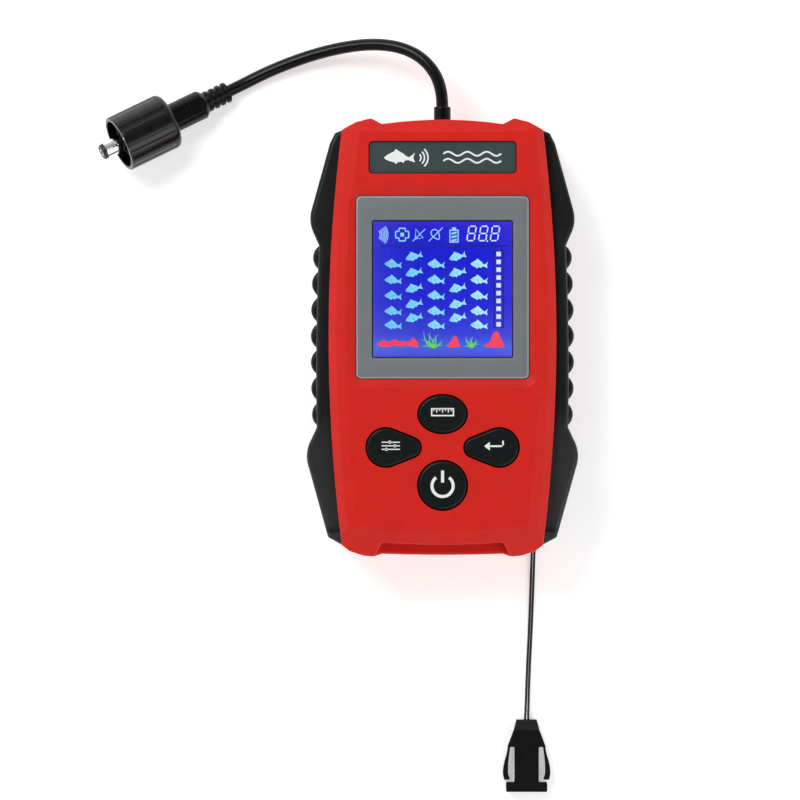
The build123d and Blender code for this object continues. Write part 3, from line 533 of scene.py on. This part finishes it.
def add_bezel():
    """The display's frame, bevelled outside and in, with a paler edge ring that is a painted highlight."""
    bezel = ring_piece("bezel_frame", (
        inset(BEZEL, 0.0, 1.3, BEZEL_FOOT), inset(BEZEL, 0.0, 1.3, BEZEL_TOP - 0.24),
        inset(BEZEL, 0.12, 1.2, BEZEL_TOP - 0.08), inset(BEZEL, 0.35, 1.0, BEZEL_TOP),
        inset(OPENING, -0.5, 1.0, BEZEL_TOP), inset(OPENING, -0.25, 0.8, BEZEL_TOP - 0.08),
        inset(OPENING, 0.0, 0.6, BEZEL_TOP - 0.36), inset(OPENING, 0.0, 0.6, BEZEL_FOOT),
    ), LOOKS["bezel_grey"].material)
    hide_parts("display_bezel")
    # Painted highlight: a paler, glossier ring over the frame's outer bevel.
    edge = moulded("bezel_painted_highlight", linear(158, 166, 166), 0.25, 0.18, 0.002, 0.03, 12.0)
    ring_piece("bezel_painted_highlight", (
        inset(BEZEL, 0.0, 1.3, BEZEL_TOP - 0.4), inset(BEZEL, -0.02, 1.3, BEZEL_TOP - 0.2),
        inset(BEZEL, 0.15, 1.15, BEZEL_TOP - 0.04), inset(BEZEL, 0.34, 0.96, BEZEL_TOP + 0.01),
        inset(BEZEL, 0.4, 0.9, BEZEL_TOP - 0.4),
    ), edge.material)


def add_gap_shade():
    """Dark rings in the gaps round the display's frame and the name plate: painted shade in place of the
    gaps' shadow.
    """
    # Painted shade: black rings, in the seal_rubber slot, where the gaps would lie in shadow.
    shade_material = LOOKS["seal_rubber"].material
    ring_piece("bezel_gap_shade", (
        inset(BEZEL, -0.3, 1.6, GAP_SHADE_FOOT), inset(BEZEL, -0.3, 1.6, BEZEL_TOP - 0.26),
        inset(BEZEL, -0.02, 1.32, BEZEL_TOP - 0.24), inset(BEZEL, -0.02, 1.32, GAP_SHADE_FOOT),
    ), shade_material)
    low, high = box_mm("name_plate")
    plate = ((high.x - low.x) / 2, (high.y - low.y) / 2, (low.y + high.y) / 2)
    foot = high.z - PLATE_SHADE_DEPTH
    top = high.z + PLATE_SHADE_PROUD
    ring_piece("plate_gap_shade", (
        inset(plate, -0.09, 1.29, foot), inset(plate, -0.09, 1.29, top),
        inset(plate, 0.25, 0.95, top), inset(plate, 0.25, 0.95, foot),
    ), shade_material)


add_bezel()
add_gap_shade()


# --- display picture ------------------------------------------------------------------------------
# One fish and the marks on it, one unit long.
FISH = ((-0.50, -0.01), (-0.40, 0.07), (-0.27, 0.14), (-0.17, 0.19), (-0.12, 0.27), (-0.05, 0.22),
        (0.03, 0.17), (0.12, 0.12), (0.20, 0.05), (0.30, 0.00), (0.38, 0.05), (0.50, 0.15),
        (0.44, 0.00), (0.50, -0.17), (0.37, -0.12), (0.27, -0.09), (0.17, -0.11), (0.13, -0.18),
        (0.05, -0.14), (-0.05, -0.16), (-0.12, -0.22), (-0.17, -0.16), (-0.30, -0.13), (-0.42, -0.08))
FISH_EYE = ((-0.40, -0.01), (-0.37, -0.01), (-0.37, 0.03), (-0.40, 0.03))
FISH_GILL = ((-0.27, 0.10), (-0.245, 0.0), (-0.27, -0.10), (-0.29, -0.10), (-0.27, 0.0), (-0.29, 0.10))
FISH_FIN = ((-0.12, -0.03), (0.02, -0.07), (-0.02, -0.09), (-0.12, -0.06))
FISH_LINE = ((-0.18, 0.04), (0.16, 0.01), (0.16, -0.005), (-0.18, 0.022))

FISH_LENGTH = 4.7
FISH_TALLER = 1.2

# Places on the display are shares of its clear width and height, from the left and from the top.
FISH_COLUMNS = (0.150, 0.297, 0.455, 0.606, 0.760)
LEVEL_ROWS = (0.319, 0.434, 0.548, 0.661, 0.762)
TILTED_ROWS = (0.262, 0.379, 0.493, 0.608, 0.708)
DEPTH_COLUMN = 0.898
LOW_BUMPS = ((.034, .902), (.052, .884), (.082, .866), (.112, .884), (.14, .876), (.165, .864),
             (.195, .882), (.22, .875), (.25, .884), (.268, .878), (.282, .862), (.290, .848),
             (.302, .862), (.318, .874), (.326, .892), (.326, .926), (.29, .918), (.25, .912),
             (.20, .916), (.15, .910), (.10, .922), (.06, .918))
SMALL_MOUND = ((.530, .918), (.536, .900), (.553, .892), (.562, .870), (.575, .848), (.592, .838),
               (.606, .852), (.612, .880), (.622, .900), (.622, .920), (.58, .924))
LARGE_MOUND = ((.798, .920), (.802, .902), (.830, .888), (.843, .868), (.852, .836), (.866, .812),
               (.885, .804), (.902, .820), (.908, .846), (.920, .868), (.924, .888), (.938, .902),
               (.938, .922), (.87, .926))
WATER_PLANTS = (  # where each plant stands, and the tips of its leaves
    ((.438, .926), ((.352, .868), (.366, .804), (.392, .824), (.414, .812), (.446, .836), (.470, .830),
                    (.500, .868), (.508, .912), (.356, .920), (.378, .868), (.484, .884))),
    ((.708, .926), ((.660, .868), (.668, .842), (.690, .854), (.716, .846), (.738, .862), (.764, .900),
                    (.652, .918), (.752, .880))),
)
DIGIT_WIDTH = 1.95
DIGIT_HEIGHT = 3.9
DIGIT_LINE = 0.34
DIGIT_SLANT = 0.17
DIGIT_GAP = 0.06
POINT_SIDE = 0.42
MARK_SIDE = 1.2

WINDOW_FLANGE = 1.0
SEGMENT_HEIGHT = 0.08
LAYER_STEP = 0.01
BORDER_LINE = 0.3
BORDER_RISE = 0.1
window_low, window_high = box_mm("display_window")
lcd_z = box_mm("lcd_panel")[1].z


def on_screen(across, down):
    """A place on the display in millimetres."""
    left = window_low.x + WINDOW_FLANGE
    right = window_high.x - WINDOW_FLANGE
    top = window_high.y - WINDOW_FLANGE
    bottom = window_low.y + WINDOW_FLANGE
    return (left + (right - left) * across, top + (bottom - top) * down)


def segments(name, outlines, look, layer=0):
    """Lit segments on the panel; a higher layer lies over a lower one."""
    low_z = lcd_z + LAYER_STEP * layer
    raised(name, outlines, low_z, low_z + SEGMENT_HEIGHT, "case", look.material)


def show_fish():
    """Five columns of fish, every second column tilted and a little higher."""
    fish = []
    marks = []
    for column, across in enumerate(FISH_COLUMNS):
        rows, degrees = (TILTED_ROWS, 17) if column % 2 else (LEVEL_ROWS, -4)
        for down in rows:
            for outline, group in ((FISH, fish), (FISH_EYE, marks), (FISH_GILL, marks),
                                   (FISH_FIN, marks), (FISH_LINE, marks)):
                taller = [(x, y * FISH_TALLER) for x, y in outline]
                group.append(turned(taller, on_screen(across, down), degrees, FISH_LENGTH))
    look = lit("lcd_fish", linear(150, 226, 250), 1.05)
    paler = look.ramp(look.along("X", window_low.x, window_high.x), (
        (0.1, linear(112, 202, 246)), (0.5, linear(140, 224, 250)), (0.85, linear(186, 242, 255))))
    look.link(paler, look.shader.inputs["Emission Color"])
    segments("lcd_fish", fish, look)
    segments("lcd_fish_marks", marks, lit("lcd_fish_mark", linear(88, 144, 230)), 2)


def digit_segments(corner):
    """All seven bars of one slanted digit."""
    x0, y0 = corner
    half = DIGIT_HEIGHT / 2
    ends = DIGIT_LINE + 2 * DIGIT_GAP
    flat = [rectangle((DIGIT_WIDTH / 2, level), DIGIT_WIDTH - ends, DIGIT_LINE)
            for level in (0, half, DIGIT_HEIGHT)]
    upright = [rectangle((side, level + half / 2), DIGIT_LINE, half - ends)
               for side in (0, DIGIT_WIDTH) for level in (0, half)]
    return [[(x0 + x + y * DIGIT_SLANT, y0 + y) for x, y in bar] for bar in flat + upright]


def show_numbers():
    """Three digits with every bar lit, and a point."""
    bars = []
    for index in range(3):
        bars += digit_segments(on_screen(0.672 + 0.083 * index, 0.148))
    bars.append(rectangle(on_screen(0.818, 0.151), POINT_SIDE, POINT_SIDE))
    segments("lcd_numbers", bars, lit("lcd_number", linear(222, 240, 255), 1.0))


def sonar_arcs(centre, count, first, step, half_angle, line):
    """Arcs that spread to the right from a point."""
    return [stroke(arc_points(centre, first + step * index, -half_angle, half_angle, 10), line)
            for index in range(count)]


def cross_icon(x, y):
    """A cross in outline, open at its inner corners, round a square."""
    marks = []
    for side in (-1, 1):
        marks.append(rectangle((x, y + side * 1.7), 1.7, 0.34))
        marks.append(rectangle((x + side * 1.75, y), 0.34, 1.6))
        for level in (-1, 1):
            marks.append(rectangle((x + side * 0.85, y + level * 1.3), 0.3, 0.85))
            marks.append(rectangle((x + side * 1.3, y + level * 0.88), 0.95, 0.3))
    marks.append(rectangle((x, y), 1.0, 1.0))
    return marks


def triangle_icon(x, y):
    """A triangle with a line through it."""
    triangle = ((-0.9, -1.1), (-0.9, 1.6), (1.1, -0.9), (-0.9, -1.1))
    return [stroke(turned(triangle, (x, y)), 0.26),
            stroke([(x - 1.7, y - 1.8), (x + 1.7, y + 1.5)], 0.24)]


def bell_icon(x, y):
    """A leaning bell with a line through it."""
    bell = [(0.9 * math.cos(turn) * (1 + 0.35 * math.sin(turn)), 1.5 * math.sin(turn))
            for turn in (math.pi * step / 12 for step in range(25))]
    return [stroke(turned(bell, (x, y), 35), 0.26),
            stroke([(x - 1.9, y - 1.8), (x + 1.9, y + 1.9)], 0.24)]


def cell_icon(x, y):
    """A standing battery with three slanted bars in it."""
    marks = frame_strokes((x, y - 0.25), 2.5, 3.5, 0.3)
    marks.append(rectangle((x, y + 1.8), 1.1, 0.6))
    for row in range(3):
        middle = y + 0.55 - 0.95 * row
        marks.append(stroke([(x - 0.7, middle - 0.2), (x + 0.7, middle + 0.2)], 0.5))
    return marks


def show_icons():
    """The row of small icons along the top."""
    icons = sonar_arcs(on_screen(0.012, 0.105), 6, first=1.75, step=0.42, half_angle=37, line=0.22)
    for icon, across, down in ((cross_icon, 0.214, 0.104), (triangle_icon, 0.333, 0.104),
                               (bell_icon, 0.452, 0.104), (cell_icon, 0.582, 0.108)):
        icons += icon(*on_screen(across, down))
    segments("lcd_icons", icons, lit("lcd_icon", linear(160, 218, 255)))


def show_rules():
    """The dark line under the icons, the dark frame of the depth column and its ten marks."""
    lines = [stroke([on_screen(0.055, 0.187), on_screen(0.967, 0.187)], 0.4)]
    x, top = on_screen(DEPTH_COLUMN, 0.211)
    _, bottom = on_screen(DEPTH_COLUMN, 0.782)
    lines += frame_strokes((x, (top + bottom) / 2), 2.75, top - bottom, 0.36)
    segments("lcd_rules", lines, lit("lcd_dark_blue", linear(10, 6, 138)))
    marks = [rectangle(on_screen(DEPTH_COLUMN, 0.245 + 0.0568 * row), MARK_SIDE, MARK_SIDE)
             for row in range(10)]
    segments("lcd_depth_marks", marks, lit("lcd_mark", linear(226, 240, 255)))


def leaf(base, tip, lean):
    """A bowed leaf that tapers to its tip."""
    start = Vector(on_screen(*base))
    end = Vector(on_screen(*tip))
    side = Vector((start.y - end.y, end.x - start.x)) * lean
    path = []
    for step in range(9):
        share = step / 8
        path.append(tuple(start.lerp(end, share) + side * math.sin(math.pi * share)))
    return stroke(path, 0.52, 0.06)


def show_ground():
    """The bottom: low bumps, two mounds and two water plants."""
    mounds = [[on_screen(*point) for point in outline]
              for outline in (LOW_BUMPS, SMALL_MOUND, LARGE_MOUND)]
    segments("lcd_mounds", mounds, lit("lcd_red", linear(255, 62, 92)))
    leaves = [leaf(base, tip, 0.16 if index % 2 else -0.13)
              for base, tips in WATER_PLANTS for index, tip in enumerate(tips)]
    segments("lcd_plants", leaves, lit("lcd_green", linear(110, 216, 84)), 1)


def show_border():
    """A thin dark line printed round the clear part of the window."""
    middle = ((window_low.x + window_high.x) / 2, (window_low.y + window_high.y) / 2)
    width = window_high.x - window_low.x - 2 * WINDOW_FLANGE
    length = window_high.y - window_low.y - 2 * WINDOW_FLANGE
    look = moulded("window_border", linear(20, 20, 48), 0.4)
    raised("window_border", frame_strokes(middle, width, length, BORDER_LINE), lcd_z + BORDER_RISE,
           lcd_z + 2 * BORDER_RISE, "case", look.material)


show_fish()
show_numbers()
show_icons()
show_rules()
show_ground()
show_border()


# --- key symbols and the plate's pictogram ---------------------------------------------------------
PRINT_DEPTH = 0.05
PRINT_HEIGHT = 0.03
white_print = moulded("white_print", linear(232, 234, 232), 0.45, 0.2, 0.004, 0.03)


def printed(name, outlines, node, body):
    """A thin inlay in the top of a node."""
    top_z = box_mm(node)[1].z
    raised(name, outlines, top_z - PRINT_DEPTH, top_z + PRINT_HEIGHT, body,
           white_print.material)


def node_middle(node):
    """The middle of a node, seen from above."""
    low, high = box_mm(node)
    return (low.x + high.x) / 2, (low.y + high.y) / 2


def power_symbol(x, y):
    """An open ring with an upright bar."""
    bar = 0.82
    return [stroke(arc_points((x, y - 0.15), 2.85, 128, 412, 48), bar),
            stroke([(x, y + 0.75), (x, y + 4.0)], bar)]


def unit_symbol(x, y):
    """A ruler with seven ticks."""
    marks = frame_strokes((x, y), 6.2, 2.2, 0.36)
    for tick in range(7):
        length = 1.05 if tick % 2 else 0.6
        marks.append(rectangle((x - 2.34 + 0.78 * tick, y + 0.92 - length / 2), 0.3, length))
    return marks


def setup_symbol(x, y):
    """Three sliders with their knobs."""
    marks = []
    for row, knob in ((-1, -1.2), (0, 1.1), (1, -0.3)):
        marks.append(rectangle((x, y + 0.95 * row), 4.9, 0.28))
        marks.append(rectangle((x + knob, y + 0.95 * row), 0.6, 0.78))
    return marks


def enter_symbol(x, y):
    """A return arrow: its upright, its shaft and its head."""
    return [rectangle((x + 2.35, y + 0.62), 0.46, 1.7), rectangle((x + 0.65, y), 3.86, 0.46),
            [(x - 1.2, y + 1.15), (x - 2.75, y), (x - 1.2, y - 1.15)]]


KEY_SYMBOLS = (  # key, its symbol, and the symbol's place from the middle of the key
    ("power", power_symbol, 0.0, 0.0),
    ("unit", unit_symbol, 0.0, 0.5),
    ("setup", setup_symbol, -0.75, 0.45),
    ("enter", enter_symbol, 0.75, 0.35),
)


def add_key_symbols():
    """A printed symbol on each key top."""
    for key, symbol, across, up in KEY_SYMBOLS:
        x, y = node_middle("key_" + key)
        printed(key + "_symbol", symbol(x + across, y + up), "key_" + key, "key_" + key + "_body")


def add_plate_pictogram():
    """A fish, the arcs of an echo and two waves."""
    x, y = node_middle("name_plate")
    marks = [turned(FISH, (x - 11.6, y), 0, 8.4)]
    marks += sonar_arcs((x - 7.0, y - 0.1), 3, first=1.2, step=0.95, half_angle=48, line=0.42)
    for row in (-1, 1):
        wave = []
        for step in range(49):
            share = step / 48
            wave.append((x + 0.2 + 15.6 * share, y + row * 0.95 + 0.55 * math.sin(share * 6 * math.pi)))
        marks.append(stroke(wave, 0.46))
    printed("plate_pictogram", marks, "name_plate", "case")


add_key_symbols()
add_plate_pictogram()


# --- the line where the two halves of the case meet -------------------------------------------------
PARTING_Z = 14.0
LINE_HALF = 0.16
LINE_PROUD = 0.05
LINE_DEEP = 0.3
CUT_ABOVE = 0.3          # from the meeting line up to the cut that gives its outline
MERGE_DISTANCE = 0.002


def case_line(height):
    """The case's outer outline at this height, in order, from a cut through the front cover."""
    cut = bmesh.new()
    cut.from_mesh(nodes["front_cover"].data)
    cut.transform(nodes["front_cover"].matrix_world)
    bmesh.ops.remove_doubles(cut, verts=cut.verts[:], dist=MERGE_DISTANCE * MM)
    made = bmesh.ops.bisect_plane(cut, geom=cut.verts[:] + cut.edges[:] + cut.faces[:],
                                  plane_co=(0, 0, height * MM), plane_no=(0, 0, 1))["geom_cut"]
    near = {}
    for edge in (item for item in made if isinstance(item, bmesh.types.BMEdge)):
        for one, other in (edge.verts, reversed(edge.verts)):
            near.setdefault(one, []).append(other)
    start = max(near, key=lambda vertex: vertex.co.x)
    loop = [start]
    before = None
    while True:
        following = [vertex for vertex in near[loop[-1]] if vertex is not before]
        before = loop[-1]
        if not following or following[0] is start or len(loop) > len(near):
            break
        loop.append(following[0])
    outline = [(vertex.co.x / MM, vertex.co.y / MM) for vertex in loop]
    cut.free()
    return outline


def add_parting_line():
    """A dark strip round the case, just proud of it."""
    outline = case_line(PARTING_Z + CUT_ABOVE)
    points = []
    faces = []
    count = len(outline)
    turning = sum(x * outline[(index + 1) % count][1] - outline[(index + 1) % count][0] * y
                  for index, (x, y) in enumerate(outline))
    for index, (x, y) in enumerate(outline):
        before = Vector(outline[index - 1])
        after = Vector(outline[(index + 1) % count])
        along = (after - before).normalized()
        outward = Vector((along.y, -along.x)) * (1 if turning > 0 else -1)
        for shift, z in ((-LINE_DEEP, -LINE_HALF), (LINE_PROUD, -LINE_HALF), (LINE_PROUD, LINE_HALF),
                         (-LINE_DEEP, LINE_HALF)):
            points.append((x + outward.x * shift, y + outward.y * shift, PARTING_Z + z))
        for side in range(4):
            following = (side + 1) % 4
            start = index * 4
            ahead = (index + 1) % count * 4
            faces.append([start + side, start + following, ahead + following, ahead + side])
    piece = mesh_piece("parting_line", points, faces)
    place(piece, "case", LOOKS["seal_rubber"].material)


add_parting_line()


# --- plug: its tip, and the thread in the nut ------------------------------------------------------
THREAD_TURNS = 5
THREAD_PITCH = 1.5
THREAD_RADIUS = 6.72
THREAD_DEPTH = 0.42
THREAD_STEPS = 48
THREAD_FADE = 12         # steps over which each end of the thread rises
THREAD_START = 6.7       # these places are along the plug's axis, from its joint
INSULATOR_STATIONS = ((12.3, 1.28), (12.7, 1.28), (12.7, 2.15), (13.25, 2.15), (13.5, 2.08),
                      (13.68, 1.88), (13.7, 1.45), (13.7, 0.95), (12.4, 0.95))
CONTACT_STATIONS = ((12.5, 0.93), (13.62, 0.93), (13.66, 0.88), (13.66, 0.66), (13.6, 0.6), (12.6, 0.6))


def nut_frame():
    """The nut joint's place in millimetres, its axis, and two directions square to it."""
    for joint in frame["record"]["behaviour"]["joints"]:
        if joint["name"] == "plug_nut_spin":
            axis = Vector(joint["axis"]).normalized()
            across = axis.orthogonal().normalized()
            return Vector(joint["pos_m"]) / MM, axis, across, axis.cross(across)


def lathe(name, centre, axis, stations, body, material, steps=40):
    """A turned piece through (place along the axis, radius) stations, closed at both ends."""
    across = axis.orthogonal().normalized()
    third = axis.cross(across)
    points = []
    faces = []
    for along, radius in stations:
        for step in range(steps):
            angle = 2 * math.pi * step / steps
            outward = across * math.cos(angle) + third * math.sin(angle)
            points.append(centre + axis * along + outward * radius)
    for station in range(len(stations) - 1):
        start = station * steps
        for step in range(steps):
            after = (step + 1) % steps
            faces.append([start + step, start + after, start + steps + after, start + steps + step])
    faces.append(list(range(steps)))
    faces.append(list(reversed(range(len(points) - steps, len(points)))))
    piece = mesh_piece(name, points, faces, sharp_from=35)
    place(piece, body, material)
    return piece


def add_plug_tip():
    """The barrel's insulating tip, with the centre contact's socket in its end."""
    centre, axis, _, _ = nut_frame()
    tip = lathe("insulator_tip", centre, axis, INSULATOR_STATIONS, "case",
                LOOKS["black_plastic"].material)
    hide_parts("plug_insulator")
    lathe("centre_contact", centre, axis, CONTACT_STATIONS, "case",
          LOOKS["plug_chrome"].material)


def add_thread():
    """The raised thread inside the nut, a helix of a four-cornered section."""
    centre, axis, across, third = nut_frame()
    profile = ((0.0, -0.45), (-THREAD_DEPTH, -0.12), (-THREAD_DEPTH, 0.12), (0.0, 0.45))
    points = []
    faces = []
    total = THREAD_TURNS * THREAD_STEPS
    for step in range(total + 1):
        angle = 2 * math.pi * step / THREAD_STEPS
        outward = across * math.cos(angle) + third * math.sin(angle)
        along = THREAD_START - THREAD_PITCH * step / THREAD_STEPS
        fade = min(1.0, step / THREAD_FADE, (total - step) / THREAD_FADE)
        for inward, shift in profile:
            points.append(centre + axis * (along + shift) + outward * (THREAD_RADIUS + inward * fade))
        if step:
            count = len(profile)
            first = (step - 1) * count
            for index in range(count):
                after = (index + 1) % count
                faces.append([first + index, first + after, first + count + after, first + count + index])
    last = total * len(profile)
    faces.append([3, 2, 1, 0])
    faces.append([last, last + 1, last + 2, last + 3])
    piece = mesh_piece("nut_thread", points, faces)
    place(piece, "nut", LOOKS["nut_plastic"].material)


add_plug_tip()
add_thread()


# --- buckle prongs, bending out of its head ---------------------------------------------------------
PRONG_LOW_Z = 0.6
PRONG_EDGE = 0.18
PRONG_ROOT_Y = -7.1      # Y places here are from BUCKLE_Y, and X places from BUCKLE_X
PRONG_LENGTH = 9.2
PRONG_STEPS = 46
PRONG_OUTER = ((-7.1, 5.12), (-8.0, 5.18), (-9.6, 5.52), (-11.1, 5.98), (-13.0, 6.37), (-14.3, 6.47),
               (-15.4, 6.36), (-16.3, 6.12))
PRONG_INNER = ((-7.1, 4.40), (-8.0, 4.55), (-10.0, 4.82), (-11.9, 5.02), (-14.6, 5.05), (-15.3, 4.85),
               (-15.8, 4.66), (-16.3, 4.62))


def between(stations, y):
    """The stations' x at this y, in a straight line from one to the next."""
    for (first_y, first_x), (next_y, next_x) in zip(stations, stations[1:]):
        if y >= next_y - 1e-9:
            return first_x + (next_x - first_x) * (first_y - y) / (first_y - next_y)
    return stations[-1][1]


def add_prong(side):
    """One springy arm of the buckle, on its right (1) or left (-1)."""
    hand = "right" if side > 0 else "left"
    points = []
    faces = []
    low = PRONG_LOW_Z
    high = BUCKLE_THICK - PRONG_LOW_Z
    edge = PRONG_EDGE
    for step in range(PRONG_STEPS + 1):
        y = PRONG_ROOT_Y - PRONG_LENGTH * step / PRONG_STEPS
        outer = between(PRONG_OUTER, y)
        inner = between(PRONG_INNER, y)
        ring = ((inner, low + edge), (inner + edge, low), (outer - edge, low), (outer, low + edge),
                (outer, high - edge), (outer - edge, high), (inner + edge, high), (inner, high - edge))
        points += [(BUCKLE_X + side * x, BUCKLE_Y + y, z) for x, z in ring]
        count = len(ring)
        if step:
            start = (step - 1) * count
            for index in range(count):
                after = (index + 1) % count
                faces.append([start + index, start + after, start + count + after, start + count + index])
    faces.append(list(range(count)))
    faces.append(list(reversed(range(len(points) - count, len(points)))))
    piece = mesh_piece("prong_" + hand + "_arm", points, faces, sharp_from=32)
    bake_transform(piece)
    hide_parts("buckle_prong_" + hand)
    piece.data.materials.append(LOOKS["buckle_plastic"].material)
    return piece


prongs = [add_prong(side) for side in (1, -1)]


# --- the cords' lengths, measured and not kept ----------------------------------------------------
curve_length(cable)
curve_length(lanyard)


# --- floor, world and lights ----------------------------------------------------------------------
FLOOR_SIDE = 24000.0
GLOW_NEAR = 0.13         # the floor's own light under the object, and far from it
GLOW_FAR = 0.9
GLOW_START_M = 0.42      # distances between which it rises
GLOW_STOP_M = 0.58


def add_floor():
    """A plain pale floor that fades to white away from the object."""
    floor = mesh_piece("floor", [(x, y, 0) for x, y in rectangle((0, 0), FLOOR_SIDE, FLOOR_SIDE)],
                       [(0, 1, 2, 3)])
    look = Look("floor", (0.92, 0.92, 0.92, 1.0), 0.8)
    look.set(Specular_IOR_Level=0.05, Emission_Color=(1.0, 1.0, 1.0, 1.0))
    distance = look.tree.nodes.new("ShaderNodeVectorMath")
    distance.operation = "LENGTH"
    look.link(look.place, distance.inputs[0])
    glow = look.grey_range(distance.outputs["Value"], GLOW_START_M, GLOW_STOP_M, GLOW_NEAR, GLOW_FAR)
    look.link(glow, look.shader.inputs["Emission Strength"])
    floor.data.materials.append(look.material)


def add_area_light(name, position, size, power):
    """A soft square lamp that faces the object."""
    data = bpy.data.lights.new(name, "AREA")
    data.shape = "SQUARE"
    data.size = size
    data.energy = power
    light = add_object(name, data)
    light.location = position
    light.rotation_mode = "QUATERNION"
    light.rotation_quaternion = (-Vector(position)).to_track_quat("-Z", "Y")


SKY = (  # the room's brightness, from the horizon (0) to straight up (1)
    (0.0, 0.95), (0.12, 0.9), (0.25, 0.7), (0.5, 0.58), (0.78, 0.4), (0.9, 0.06), (1.0, 0.02))


def add_world():
    """A pale room with a dark ceiling above the object."""
    world = bpy.data.worlds.new("world")
    scene.world = world
    world.use_nodes = True
    tree = world.node_tree
    place_in = tree.nodes.new("ShaderNodeTexCoord")
    split = tree.nodes.new("ShaderNodeSeparateXYZ")
    ramp = tree.nodes.new("ShaderNodeValToRGB")
    elements = ramp.color_ramp.elements
    while len(elements) < len(SKY):
        elements.new(0.5)
    for element, (position, grey) in zip(elements, SKY):
        element.position = position
        element.color = (grey, grey, grey, 1.0)
    tree.links.new(place_in.outputs["Generated"], split.inputs["Vector"])
    tree.links.new(split.outputs["Z"], ramp.inputs["Fac"])
    tree.links.new(ramp.outputs["Color"], tree.nodes["Background"].inputs["Color"])


add_floor()
add_world()
add_area_light("key_light", position=(-0.45, 0.55, 0.8), size=0.5, power=6.5)
add_area_light("fill_light", position=(0.55, -0.6, 0.8), size=1.0, power=5.0)

bpy.context.view_layer.update()
